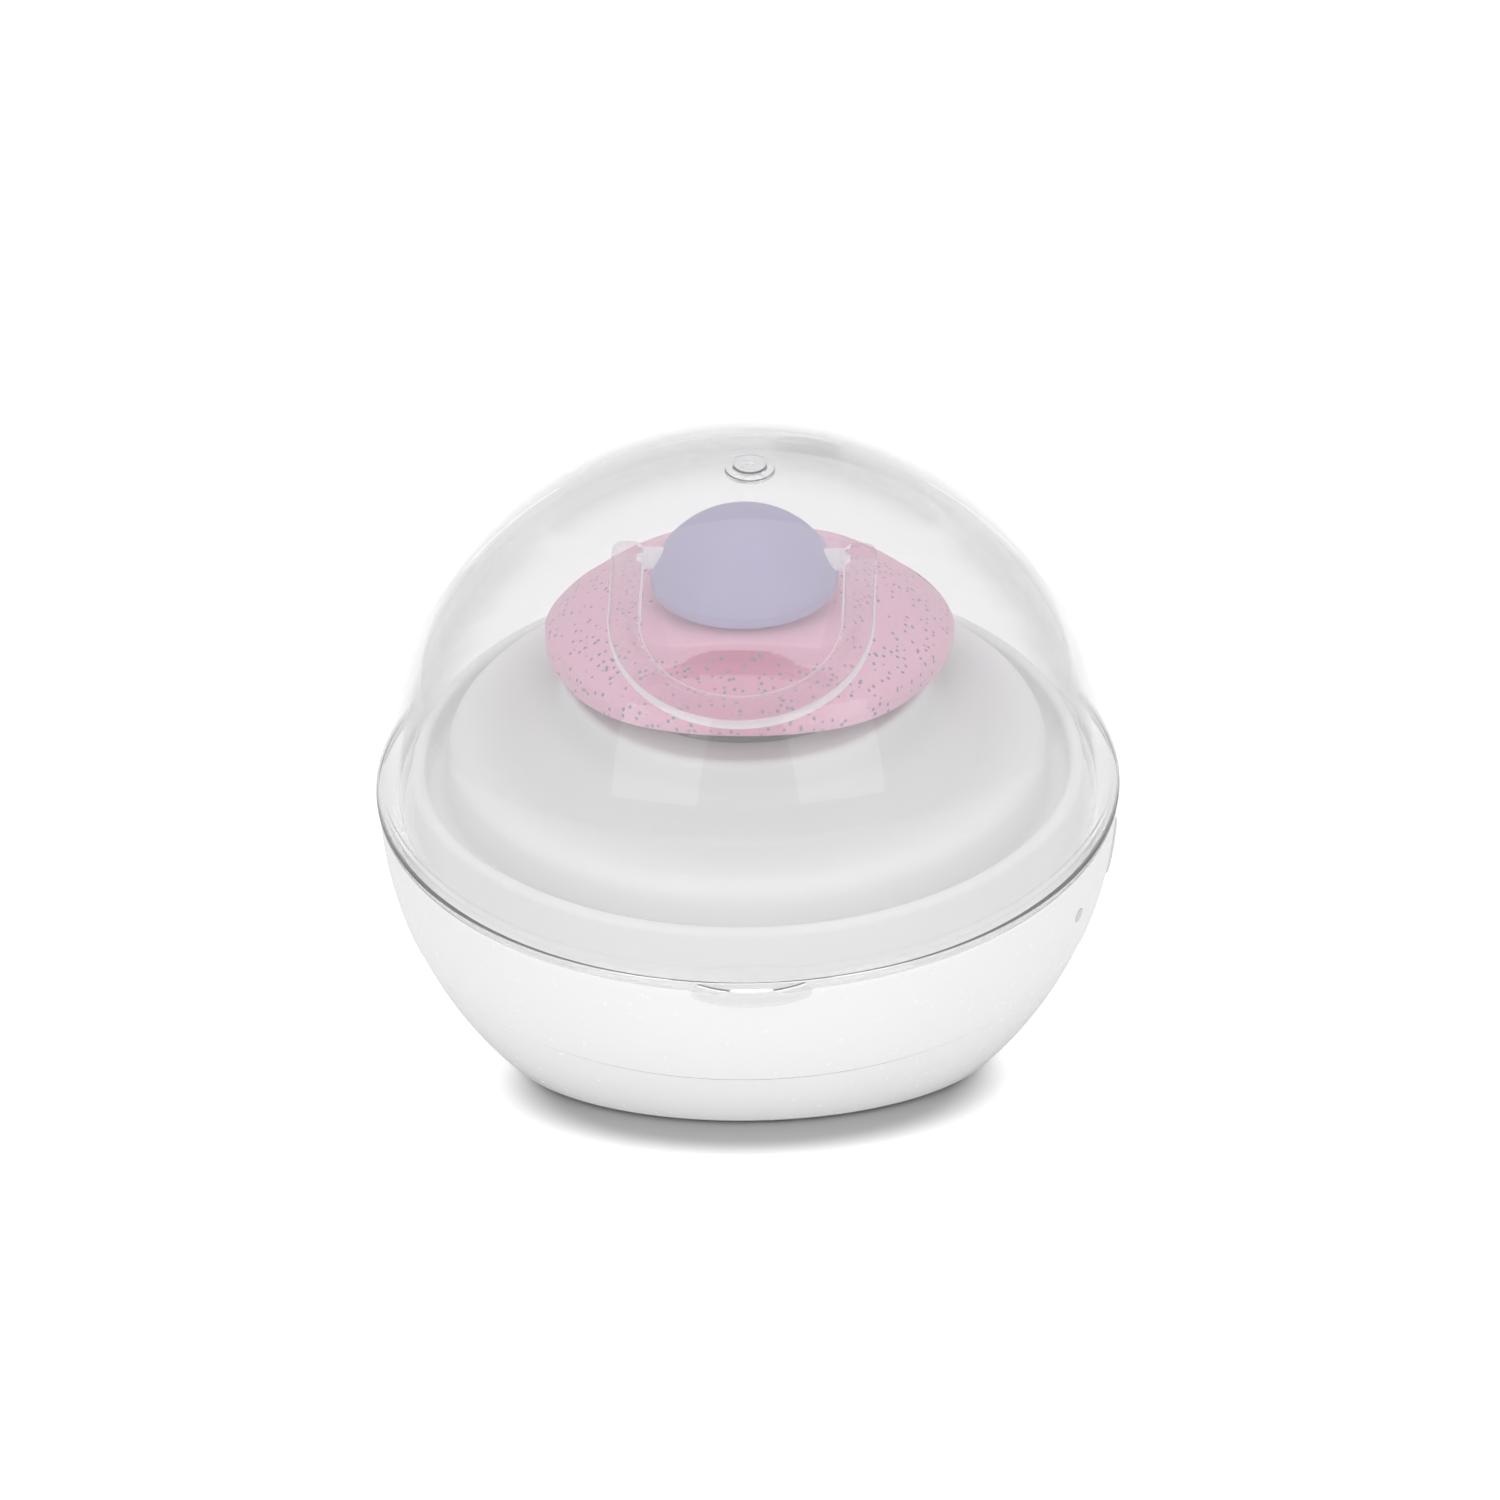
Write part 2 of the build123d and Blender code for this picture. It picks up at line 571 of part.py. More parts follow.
def inner_tray():
    """Collar, valley, hill, pedestal and well in one moulding, with the bosses under it."""
    w = TRAY_WALL
    start, end = (FLANGE_RADIUS, 0), (WINDOW_APERTURE, -WELL_DEPTH)
    top = FilletPolyline(
        start,
        (COLLAR_RADIUS, 0),
        (COLLAR_RADIUS, COLLAR_HEIGHT),
        (VALLEY_OUTER, COLLAR_HEIGHT),
        (VALLEY_OUTER, VALLEY_HEIGHT),
        (VALLEY_INNER, VALLEY_HEIGHT),
        (SHOULDER_RADIUS, SHOULDER_HEIGHT),
        (CREASE_RADIUS, CREASE_HEIGHT),
        (FLARE_RADIUS, FLARE_HEIGHT),
        (PEDESTAL_RADIUS, PEDESTAL_HEIGHT),
        (WELL_MOUTH_RADIUS, PEDESTAL_HEIGHT),
        (WELL_FLOOR_RADIUS, -WELL_DEPTH),
        end,
        radius=(0.3, 0.75, 0.75, 1.0, 1.0, 2.4, 1.0, 3.0, 1.0, 0.8, 1.5),
    )
    slope = (WELL_MOUTH_RADIUS - WELL_FLOOR_RADIUS) / (PEDESTAL_HEIGHT + WELL_DEPTH)
    web_height = FLARE_HEIGHT - w
    under = FilletPolyline(
        (WINDOW_APERTURE, -WELL_DEPTH - w),
        (WELL_FLOOR_RADIUS + w, -WELL_DEPTH - w),
        (WELL_FLOOR_RADIUS + w + slope * (web_height + WELL_DEPTH), web_height),
        (CREASE_RADIUS, CREASE_HEIGHT - w),
        (SHOULDER_RADIUS - w, SHOULDER_HEIGHT - w),
        (VALLEY_INNER - w, VALLEY_HEIGHT - w),
        (VALLEY_OUTER, VALLEY_HEIGHT - w),
        (VALLEY_OUTER, -w),
        (FLANGE_RADIUS, -w),
        radius=(1.5, 0.5, 1.0, 1.2, 0.5, 0.3, 0.3),
    )
    tray = turned(top, Line(end, (end[0], end[1] - w)), under, Line((FLANGE_RADIUS, -w), start))
    for place in around(SCREW_CIRCLE, SCREW_ANGLES):
        tray += place * rod(BOSS_RADIUS, BOARD_TOP, BOSS_TOP)
    for place in around(LAMP_SCREW_CIRCLE, LAMP_SCREW_ANGLES):
        tray += place * rod(LAMP_BOSS_RADIUS, LED_BOARD_TOP, WELL_FLOOR_BOTTOM + w / 2)
    for place in around(SCREW_CIRCLE, SCREW_ANGLES):
        tray -= place * rod(SCREW_RADIUS, BOARD_TOP, HEAD_SEAT + SCREW_SHANK)
    for place in around(LAMP_SCREW_CIRCLE, LAMP_SCREW_ANGLES):
        tray -= place * rod(LAMP_SCREW_RADIUS, LED_BOARD_TOP, LED_BOARD_BOTTOM + LAMP_SCREW_SHANK)
    return tray


def reflector_cup():
    """Thin bright liner of the well."""
    slope = (WELL_MOUTH_RADIUS - WELL_FLOOR_RADIUS) / (PEDESTAL_HEIGHT + WELL_DEPTH)
    gap, wall = FIT_GAP, REFLECTOR_WALL
    mouth = WELL_MOUTH_RADIUS - slope * (PEDESTAL_HEIGHT - REFLECTOR_TOP) - gap
    floor = -WELL_DEPTH
    outer = FilletPolyline(
        (mouth, REFLECTOR_TOP), (WELL_FLOOR_RADIUS - gap, floor), (WINDOW_APERTURE, floor), radius=1.7
    )
    inner = FilletPolyline(
        (WINDOW_APERTURE, floor + wall),
        (WELL_FLOOR_RADIUS - gap - wall, floor + wall),
        (mouth - wall, REFLECTOR_TOP),
        radius=1.3,
    )
    lip = Line((WINDOW_APERTURE, floor), (WINDOW_APERTURE, floor + wall))
    return turned(outer, lip, inner, Line((mouth - wall, REFLECTOR_TOP), (mouth, REFLECTOR_TOP)))


def window_gasket():
    return flat_ring(WINDOW_RADIUS, WINDOW_RADIUS - SPACER_WIDTH, GASKET_BOTTOM, WELL_FLOOR_BOTTOM)


def uv_window():
    return rod(WINDOW_RADIUS, WINDOW_BOTTOM, GASKET_BOTTOM)


def window_spacer():
    return flat_ring(WINDOW_RADIUS, WINDOW_RADIUS - SPACER_WIDTH, LED_BOARD_TOP, WINDOW_BOTTOM)


def led_board():
    board = rod(LED_BOARD_RADIUS, LED_BOARD_BOTTOM, LED_BOARD_TOP)
    for place in around(LAMP_SCREW_CIRCLE, LAMP_SCREW_ANGLES):
        board -= place * rod(LAMP_SCREW_RADIUS, LED_BOARD_BOTTOM, LED_BOARD_TOP)
    return board


def uv_leds():
    """Square lamp packages, each with a small raised lens."""
    body = Box(LED_SIDE, LED_SIDE, LED_HEIGHT * 0.7, align=CENTRED_UP)
    lens = Pos(0, 0, LED_HEIGHT * 0.7) * Cylinder(LED_SIDE * 0.36, LED_HEIGHT * 0.3, align=CENTRED_UP)
    places = around(LED_CIRCLE, LED_ANGLES)
    return Compound(children=[place * Pos(0, 0, LED_BOARD_TOP) * (body + lens) for place in places])


def lamp_screws():
    head = rod(LAMP_HEAD_RADIUS, LED_BOARD_BOTTOM - LAMP_HEAD_HEIGHT, LED_BOARD_BOTTOM)
    screw = head + rod(LAMP_SCREW_RADIUS, LED_BOARD_BOTTOM, LED_BOARD_BOTTOM + LAMP_SCREW_SHANK)
    return Compound(children=[place * screw for place in around(LAMP_SCREW_CIRCLE, LAMP_SCREW_ANGLES)])


def main_board():
    board = flat_ring(BOARD_OUTER, BOARD_INNER, BOARD_BOTTOM, BOARD_TOP)
    half, ring_middle = BOARD_TONGUE_WIDTH / 2, (BOARD_INNER + BOARD_OUTER) / 2
    board += block((-half, half), (ring_middle, BAND_INNER - BOARD_TONGUE_MARGIN), (BOARD_BOTTOM, BOARD_TOP))
    for place in around(SCREW_CIRCLE, SCREW_ANGLES):
        board -= place * rod(SCREW_RADIUS + FIT_GAP, BOARD_BOTTOM, BOARD_TOP)
    return board


def usb_socket():
    """Charging socket: a shell with a back wall and the contact tongue."""
    back = USB_MOUTH - USB_LENGTH
    shell = rounded_bar(USB_WIDTH, USB_HEIGHT, back, USB_MOUTH)
    cavity = rounded_bar(USB_WIDTH - 2 * USB_SHELL, USB_HEIGHT - 2 * USB_SHELL, back + 1.5, USB_MOUTH)
    half, thick = USB_TONGUE_WIDTH / 2, USB_TONGUE_THICKNESS / 2
    tongue = block((-half, half), (back + 1, USB_MOUTH - 0.8), (USB_Z - thick, USB_Z + thick))
    return shell - cavity + tongue


def lid_sensor():
    """Three-legged magnetic sensor that stands under the tray's flange near the lid's magnet."""
    x, y, z = SENSOR_SIZE
    body = Pos(SENSOR_X, RIM_PART_REACH, SENSOR_BASE) * Box(x, y, z, align=CENTRED_UP)
    for step in (-1, 0, 1):
        leg = Box(SENSOR_LEG, SENSOR_LEG, SENSOR_BASE - BOARD_TOP, align=CENTRED_UP)
        body += Pos(SENSOR_X + step * SENSOR_LEG_PITCH, RIM_PART_REACH, BOARD_TOP) * leg
    return body


def board_part(angle, x, y, height, underside=False):
    """Block on the main board's top or underside, square to the radius."""
    base = BOARD_BOTTOM - height if underside else BOARD_TOP
    return Rot(0, 0, angle) * Pos(CHIP_CIRCLE, 0, base) * Box(x, y, height, align=CENTRED_UP)


def controller_chip():
    return board_part(CONTROLLER_ANGLE, CHIP_SIDE, CHIP_SIDE, CHIP_HEIGHT)


def charger_chip():
    return board_part(CHARGER_ANGLE, CHIP_SIDE, CHIP_SIDE, CHIP_HEIGHT)


def boost_coil():
    return board_part(COIL_ANGLE, COIL_SIDE, COIL_SIDE, COIL_HEIGHT)


def battery_plug():
    x, y, z = PLUG_SIZE
    return board_part(PLUG_ANGLE, y, x, z, underside=True)


def battery():
    x, y, z = BATTERY_SIZE
    cell = Box(x, y, z, align=CENTRED_UP)
    cell = fillet(cell.edges().filter_by(Axis.Z), BATTERY_ROUND * 1.5)
    cell = fillet(cell.edges().group_by(Axis.Z)[-1], BATTERY_ROUND)
    return UPRIGHT.inverse() * Pos(0, BATTERY_Y, BATTERY_BOTTOM) * cell


def battery_tape():
    x, y, _ = BATTERY_SIZE
    tape = Box(x * 0.8, y * 0.8, TAPE_THICKNESS, align=CENTRED_UP)
    return UPRIGHT.inverse() * Pos(0, BATTERY_Y, CASE_FLOOR) * tape


def battery_leads():
    """Two leads from the battery's front face round to its plug."""
    x, y, z = BATTERY_SIZE
    level = UPRIGHT.inverse()
    plug = Rot(0, 0, PLUG_ANGLE) * Pos(CHIP_CIRCLE - PLUG_SIZE[1] / 2, 0, BOARD_BOTTOM - PLUG_SIZE[2] / 2)
    leads = []
    for step in (-LEAD_PITCH / 2, LEAD_PITCH / 2):
        leaving = Plane(level * Pos(step - x / 3, BATTERY_Y - y / 2, BATTERY_BOTTOM + z / 2) * Rot(90, 0, 0))
        arriving = Plane(plug * Pos(0, step, 0) * Rot(0, 90, 0))
        path = FilletPolyline(
            leaving.origin,
            leaving.origin + leaving.z_dir * LEAD_STRAIGHT,
            arriving.origin - arriving.z_dir * LEAD_STRAIGHT,
            arriving.origin,
            radius=LEAD_BEND,
        )
        leads.append(sweep(leaving * Circle(LEAD_RADIUS), path))
    return Compound(children=leads)


def pacifier_shield():
    """Bent butterfly plate with a raised hub that carries the knob."""
    half = Spline(
        (0, SHIELD_FRONT_Y),
        (SHIELD_HALF_WIDTH, SHIELD_WIDEST_Y),
        SHIELD_LOBE,
        (0, SHIELD_NOTCH_Y),
        tangents=((1, 0), (0, 1), (-1, 0), (-1, 0)),
    )
    outline = make_face([half, half.mirror(Plane.YZ)])
    under = bent_top(SHIELD_SEAT, SHIELD_UNDER_BEND, SHIELD_UNDER_LONG_BEND)
    top = bent_top(SHIELD_TOP, SHIELD_BEND, SHIELD_LONG_BEND, SHIELD_CROWN)
    plate = (extrude(outline, BALL_RADIUS) & top) - under
    depth = HUB_TOP - SHIELD_SEAT - TEAT_WEB
    outline = Plane.XY.offset(HUB_TOP - depth) * RectangleRounded(2 * HUB_HALF_WIDTH, 2 * HUB_HALF_DEPTH, HUB_CORNER)
    hub = extrude(outline, depth, taper=HUB_TAPER) & bent_top(HUB_TOP, SHIELD_BEND, FAR)
    hub = fillet(hub.faces().sort_by(Axis.Z)[-1].edges(), HUB_EDGE_ROUND)
    return plate + hub - rod(HUB_BORE, TEAT_SEAT, FAR) - rod(TEAT_NECK_RADIUS + RUNNING_GAP, 0, FAR)


def bent_top(level, bend, long_bend, crown=0):
    """Solid under a face bent both ways, with its crown at this level and distance to the rear."""
    lowest = level - bend / 2

    def at(reach):
        return crown + reach, level - long_bend + sqrt(long_bend**2 - reach**2)

    front, rear = at(-SHIELD_REACH), at(SHIELD_REACH)
    arc = ThreePointArc(front, (crown, level), rear)
    sides = Polyline(rear, (rear[0], lowest), (front[0], lowest), front)
    return revolve(Plane.YZ * make_face([arc, sides]), Axis((0, 0, level - bend), (0, 1, 0)))


def pacifier_teat():
    """Hollow teat, its flange seated in the hub and its bulb down in the well."""
    neck_end = TEAT_SEAT - TEAT_NECK_LENGTH
    down = (0, -1)

    def skin(inset, top):
        neck, bulb = TEAT_NECK_RADIUS - inset, TEAT_BULB_RADIUS - inset
        tip = TEAT_BULB_HEIGHT - bulb
        side = (bulb * cos(radians(45)), TEAT_BULB_HEIGHT - bulb * sin(radians(45)))
        return [
            Line((neck, top), (neck, neck_end)),
            Spline((neck, neck_end), (bulb, TEAT_BULB_HEIGHT), tangents=(down, down)),
            ThreePointArc((bulb, TEAT_BULB_HEIGHT), side, (0, tip)),
        ], tip

    outer, tip = skin(0, TEAT_SEAT)
    inner, hollow = skin(TEAT_WALL, TEAT_TOP)
    bore = TEAT_NECK_RADIUS - TEAT_WALL
    flange = Polyline(
        (bore, TEAT_TOP), (TEAT_FLANGE_RADIUS, TEAT_TOP), (TEAT_FLANGE_RADIUS, TEAT_SEAT), (TEAT_NECK_RADIUS, TEAT_SEAT)
    )
    return turned(flange, *outer, Line((0, tip), (0, hollow)), *inner)


def pacifier_knob():
    """Domed knob with the plug that clamps the teat's flange."""
    rim = KNOB_BOTTOM + KNOB_SKIRT
    rise = KNOB_TOP - rim
    radius = (KNOB_RADIUS**2 + rise**2) / (2 * rise)
    centre = KNOB_TOP - radius
    middle = asin(KNOB_RADIUS / radius) / 2
    nub_end = TEAT_TOP - KNOB_NUB_LENGTH
    knob = turned(
        Line((0, nub_end), (KNOB_NUB_RADIUS, nub_end)),
        Polyline((KNOB_NUB_RADIUS, nub_end), (KNOB_NUB_RADIUS, TEAT_TOP), (KNOB_PLUG_RADIUS, TEAT_TOP)),
        Polyline((KNOB_PLUG_RADIUS, TEAT_TOP), (KNOB_PLUG_RADIUS, KNOB_BOTTOM), (KNOB_RADIUS, KNOB_BOTTOM)),
        Line((KNOB_RADIUS, KNOB_BOTTOM), (KNOB_RADIUS, rim)),
        ThreePointArc((KNOB_RADIUS, rim), (radius * sin(middle), centre + radius * cos(middle)), (0, KNOB_TOP)),
        Line((0, KNOB_TOP), (0, nub_end)),
    )
    rims = knob.edges().filter_by(GeomType.CIRCLE).filter_by(lambda edge: abs(edge.radius - KNOB_RADIUS) < 0.01)
    knob = fillet(rims, KNOB_EDGE_ROUND)
    for turn in (0, 180):
        knob -= Rot(0, 0, turn) * Pos(0, 0, RING_PIVOT_HEIGHT) * rod_x(
            RING_PIN_RADIUS + RUNNING_GAP, RING_PIN_TIP - MOVING_GAP, KNOB_RADIUS
        )
    return knob


def ring_blank(half_width):
    """Plate with two straight legs and a round front."""
    length = RING_LEG + RING_TAIL
    plate = Pos(0, RING_TAIL - length / 2, 0) * Box(2 * half_width, length, RING_THICKNESS)
    disc = Pos(0, -RING_LEG, 0) * Cylinder(half_width, RING_THICKNESS)
    return plate + (disc & Pos(0, -RING_LEG - FAR / 2, 0) * Box(FAR, FAR, FAR))


def pacifier_ring():
    """U-shaped ring that hangs forward from two pins in the knob."""
    band = ring_blank(RING_OUTER) - ring_blank(RING_INNER)
    band = fillet(band.edges().filter_by(Axis.Z), RING_ROUND)
    band = fillet(band.edges().filter_by(lambda edge: abs(edge.center().Z) > RING_THICKNESS * 0.4), RING_ROUND)
    for turn in (0, 180):
        boss = rod_x(RING_BOSS_RADIUS, RING_BOSS_X, (RING_INNER + RING_OUTER) / 2) & Box(FAR, FAR, RING_THICKNESS)
        band += Rot(0, 0, turn) * (boss + rod_x(RING_PIN_RADIUS, RING_PIN_TIP, RING_INNER))
    return Pos(0, 0, RING_PIVOT_HEIGHT) * Rot(RING_DROOP, 0, 0) * band


def main():
    os.makedirs("parts", exist_ok=True)
    case = {
        "lid_dome": lid_dome(),
        "lid_magnet": lid_magnet(),
        "hinge_pin": hinge_pin(),
        "outer_band": outer_band(),
        "bottom_cup": bottom_cup(),
        "grip_pad": grip_pad(),
        "case_screws": case_screws(),
        "inner_tray": inner_tray(),
        "reflector_cup": reflector_cup(),
        "window_gasket": window_gasket(),
        "uv_window": uv_window(),
        "window_spacer": window_spacer(),
        "led_board": led_board(),
        "uv_leds": uv_leds(),
        "lamp_screws": lamp_screws(),
        "main_board": main_board(),
        "usb_socket": usb_socket(),
        "push_switch": push_switch(),
        "switch_plunger": switch_plunger(),
        "power_button": power_button(),
        "status_led": status_led(),
        "status_light": status_light(),
        "lid_sensor": lid_sensor(),
        "controller_chip": controller_chip(),
        "charger_chip": charger_chip(),
        "boost_coil": boost_coil(),
        "battery": battery(),
        "battery_tape": battery_tape(),
        "battery_plug": battery_plug(),
        "battery_leads": battery_leads(),
    }
    pacifier = {
        "pacifier_shield": pacifier_shield(),
        "pacifier_teat": pacifier_teat(),
        "pacifier_knob": pacifier_knob(),
        "pacifier_ring": pacifier_ring(),
    }
    for name, piece in case.items():
        export_step(UPRIGHT * piece, f"parts/{name}.step")
    for name, piece in pacifier.items():
        export_step(UPRIGHT * Rot(0, 0, PACIFIER_TURN) * piece, f"parts/{name}.step")


if __name__ == "__main__":
    main()
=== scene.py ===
"""Looks of the pacifier sterilizer case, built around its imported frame.

Places and sizes are written in millimetres and turned into metres when a mesh is made. Most pieces are drawn
in the ball's leaning frame: origin at the ball's centre, x to the right, y to the rear within the parting
plane, z up the lean. A profile point is (radius, height) in that frame.
"""

from math import acos, asin, atan2, cos, pi, radians, sin, sqrt, tan

import bmesh
import bpy
from mathutils import Matrix, Vector


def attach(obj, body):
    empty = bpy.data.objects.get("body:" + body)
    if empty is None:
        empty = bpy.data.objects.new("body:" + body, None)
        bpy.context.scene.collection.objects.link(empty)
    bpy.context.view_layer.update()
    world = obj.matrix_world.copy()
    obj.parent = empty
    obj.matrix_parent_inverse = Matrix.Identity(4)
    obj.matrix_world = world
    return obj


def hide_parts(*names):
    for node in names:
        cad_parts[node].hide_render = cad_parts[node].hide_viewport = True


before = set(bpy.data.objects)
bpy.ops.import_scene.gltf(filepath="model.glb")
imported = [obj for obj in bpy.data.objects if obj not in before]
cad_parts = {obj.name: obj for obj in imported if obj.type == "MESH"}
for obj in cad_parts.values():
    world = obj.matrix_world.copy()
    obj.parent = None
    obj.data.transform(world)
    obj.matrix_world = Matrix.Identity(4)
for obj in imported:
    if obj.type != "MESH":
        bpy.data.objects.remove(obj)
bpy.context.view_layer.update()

MM = 0.001
BALL = 42.0
BALL_HEIGHT = 31.2
LEAN = radians(16.5)
LID_WALL = 2.4
LID_GAP = 0.25
WALL_MIDDLE = BALL - LID_WALL / 2
BAND_INNER = 40
BAND_FOOT = -12.9
LEANING = Matrix.Translation((0, 0, BALL_HEIGHT)) @ Matrix.Rotation(LEAN, 4, "X")
PACIFIER = LEANING @ Matrix.Rotation(radians(-3), 4, "Z")
VENT = Matrix.Rotation(radians(2.3), 4, "X") @ Matrix.Rotation(radians(1.1), 4, "Y")
HINGE = (0, 44.9, -0.8)
KNUCKLE_RADIUS = 2.5
KNUCKLE_SPLIT = (5.9, 6.2)
BUTTON_AXIS = (0, -3.0, -7.4)
PORT_HEIGHT = -8.57
MAGNET_SEAT = (5, 38.74, 3.7)


# ---------------------------------------------------------------- shapes

def rounded(points, radii, steps=8):
    """A 2-D path with its inner corners rounded to these radii."""
    path = [Vector(points[0])]
    for before, corner, after, radius in zip(points, points[1:], points[2:], radii):
        before, corner, after = Vector(before), Vector(corner), Vector(after)
        back, ahead = (before - corner).normalized(), (after - corner).normalized()
        half = back.angle(ahead) / 2
        centre = corner + (back + ahead).normalized() * (radius / sin(half))
        first = corner + back * (radius / tan(half)) - centre
        last = corner + ahead * (radius / tan(half)) - centre
        side = (last - first * (first.dot(last) / radius**2)).normalized() * radius
        turn = acos(max(-1, min(1, first.dot(last) / radius**2)))
        path += [centre + first * cos(turn * k / steps) + side * sin(turn * k / steps)
                 for k in range(steps + 1)]
    return path + [Vector(points[-1])]


def on_ball(radius, height):
    return Vector((sqrt(max(radius**2 - height**2, 0)), height))


def ball_arc(radius, low, high, steps):
    """Points of a ball's profile, evenly spaced in angle."""
    first, last = asin(max(-1, low / radius)), asin(min(1, high / radius))
    turns = [first + (last - first) * k / steps for k in range(steps + 1)]
    return [Vector((abs(radius * cos(a)) if abs(a) < pi / 2 - 1e-6 else 0, radius * sin(a))) for a in turns]


def loft(rings, close=True):
    """Mesh through closed rings of points; a ring of one point is a pole."""
    bm = bmesh.new()
    rows = [[bm.verts.new(p) for p in ring] for ring in rings]
    pairs = list(zip(rows, rows[1:])) + ([(rows[-1], rows[0])] if close else [])
    count = max(len(row) for row in rows)
    for low, high in pairs:
        for i in range(count):
            j = (i + 1) % count
            corners = (low[i % len(low)], low[j % len(low)], high[j % len(high)], high[i % len(high)])
            corners = list(dict.fromkeys(corners))
            if len(corners) > 2:
                bm.faces.new(corners)
    bmesh.ops.recalc_face_normals(bm, faces=bm.faces)
    return bm


def lathe(profile, turns=192, axis=Matrix.Identity(4)):
    """Solid of revolution about z from a profile whose ends lie on the axis or meet each other."""
    rings = []
    for radius, height in profile:
        count = turns if radius > 1e-5 else 1
        angles = [2 * pi * k / turns for k in range(count)]
        rings.append([axis @ Vector((radius * cos(a), radius * sin(a), height)) for a in angles])
    return loft(rings, close=profile[0][0] > 1e-5)


def rod(radius, low, high, edge=0.0, turns=64, axis=Matrix.Identity(4)):
    """Round rod with softened ends."""
    if edge:
        profile = rounded([(0, low), (radius, low), (radius, high), (0, high)], (edge, edge), 5)
    else:
        profile = [(0, low), (radius, low), (radius, high), (0, high)]
    return lathe(profile, turns, axis)


def block(x, y, z):
    """Box from three (low, high) pairs."""
    bm = bmesh.new()
    bmesh.ops.create_cube(bm, size=1)
    for v in bm.verts:
        v.co = Vector([low + (high - low) * (c + 0.5) for c, (low, high) in zip(v.co, (x, y, z))])
    return bm


def along_x(x=0, y=0, z=0):
    """Turns a rod about z into one along +x that starts at this point."""
    return Matrix.Translation((x, y, z)) @ Matrix.Rotation(pi / 2, 4, "Y")


def along_y(x=0, y=0, z=0):
    """Turns a rod about z into one along +y that starts at this point."""
    return Matrix.Translation((x, y, z)) @ Matrix.Rotation(-pi / 2, 4, "X")


def slot_bar(width, height, start, end, middle, steps=16):
    """Bar along y with round ends in x."""
    radius, reach = height / 2, (width - height) / 2
    outline = []
    for side in (1, -1):
        for k in range(steps + 1):
            a = pi * k / steps - pi / 2
            outline.append((side * (reach + radius * cos(a)), side * radius * sin(a)))
    rings = [[Vector((x, y, middle + z)) for x, z in outline] for y in (start, end)]
    bm = loft(rings, close=False)
    bmesh.ops.holes_fill(bm, edges=bm.edges)
    bmesh.ops.recalc_face_normals(bm, faces=bm.faces)
    return bm


def scratch(bm):
    """Temporary object for a boolean."""
    mesh = bpy.data.meshes.new("scratch")
    bm.to_mesh(mesh)
    obj = bpy.data.objects.new("scratch", mesh)
    bpy.context.collection.objects.link(obj)
    return obj


def combine(base, *steps):
    """Applies boolean steps ("UNION" or "DIFFERENCE" or "INTERSECT", bmesh) to a bmesh in turn."""
    obj = scratch(base)
    for operation, tool in steps:
        other = scratch(tool)
        modifier = obj.modifiers.new("step", "BOOLEAN")
        modifier.operation, modifier.solver, modifier.object = operation, "EXACT", other
        result = bpy.data.meshes.new_from_object(obj.evaluated_get(bpy.context.evaluated_depsgraph_get()))
        obj.modifiers.clear()
        old, obj.data = obj.data, result
        bpy.data.meshes.remove(old)
        bpy.data.objects.remove(other)
    out = bmesh.new()
    out.from_mesh(obj.data)
    bpy.data.objects.remove(obj)
    return out


def piece(name, bm, body, material, nodes=(), place=LEANING, sharp=35):
    """Makes the visible piece and ties it to its body."""
    bmesh.ops.transform(bm, matrix=Matrix.Scale(MM, 4) @ place, verts=bm.verts)
    mesh = bpy.data.meshes.new(name)
    bm.to_mesh(mesh)
    bm.free()
    mesh.shade_smooth()
    mesh.set_sharp_from_angle(angle=radians(sharp))
    obj = bpy.data.objects.new(name, mesh)
    bpy.context.collection.objects.link(obj)
    mesh.materials.append(material)
    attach(obj, body)
    if nodes:
        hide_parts(*nodes)
    return obj


# ---------------------------------------------------------------- materials

# Colour of the lid's milky veil and of the white painted highlights along the ring's edges.
HAZE_AND_HIGHLIGHT_TINT = (0.96, 0.96, 0.965)
OUTLINE_TINT = (0.985, 0.985, 0.985)


def new_material(name):
    material = bpy.data.materials.new(name)
    material.use_nodes = True
    tree = material.node_tree
    shader = tree.nodes["Principled BSDF"]
    where = tree.nodes.new("ShaderNodeTexCoord")
    return material, tree, shader, where.outputs["Object"]


def wire(tree, value, socket):
    """Feeds a socket from an output, or sets its constant."""
    if isinstance(value, bpy.types.NodeSocket):
        tree.links.new(value, socket)
    else:
        socket.default_value = value


def noise(tree, where, scale, detail=3.0):
    node = tree.nodes.new("ShaderNodeTexNoise")
    node.inputs["Scale"].default_value = scale
    node.inputs["Detail"].default_value = detail
    tree.links.new(where, node.inputs["Vector"])
    return node.outputs["Fac"]


def arithmetic(tree, operation, first, second, clamp=False):
    node = tree.nodes.new("ShaderNodeMath")
    node.operation, node.use_clamp = operation, clamp
    wire(tree, first, node.inputs[0])
    wire(tree, second, node.inputs[1])
    return node.outputs[0]


def vectors(tree, operation, *values):
    node = tree.nodes.new("ShaderNodeVectorMath")
    node.operation = operation
    for socket, value in zip(node.inputs, values):
        wire(tree, value, socket)
    return node.outputs["Value" if operation in ("LENGTH", "DOT_PRODUCT") else "Vector"]


def remap(tree, value, source=(0.0, 1.0), target=(0.0, 1.0), smooth=False):
    """Carries a value from one range to another and holds it at the ends."""
    node = tree.nodes.new("ShaderNodeMapRange")
    if smooth:
        node.interpolation_type = "SMOOTHSTEP"
    node.inputs["From Min"].default_value, node.inputs["From Max"].default_value = source
    node.inputs["To Min"].default_value, node.inputs["To Max"].default_value = target
    tree.links.new(value, node.inputs["Value"])
    return node.outputs["Result"]


def spread(tree, factor, low, high):
    """Spreads the middle of a noise over these values."""
    return remap(tree, factor, (0.3, 0.7), (low, high))


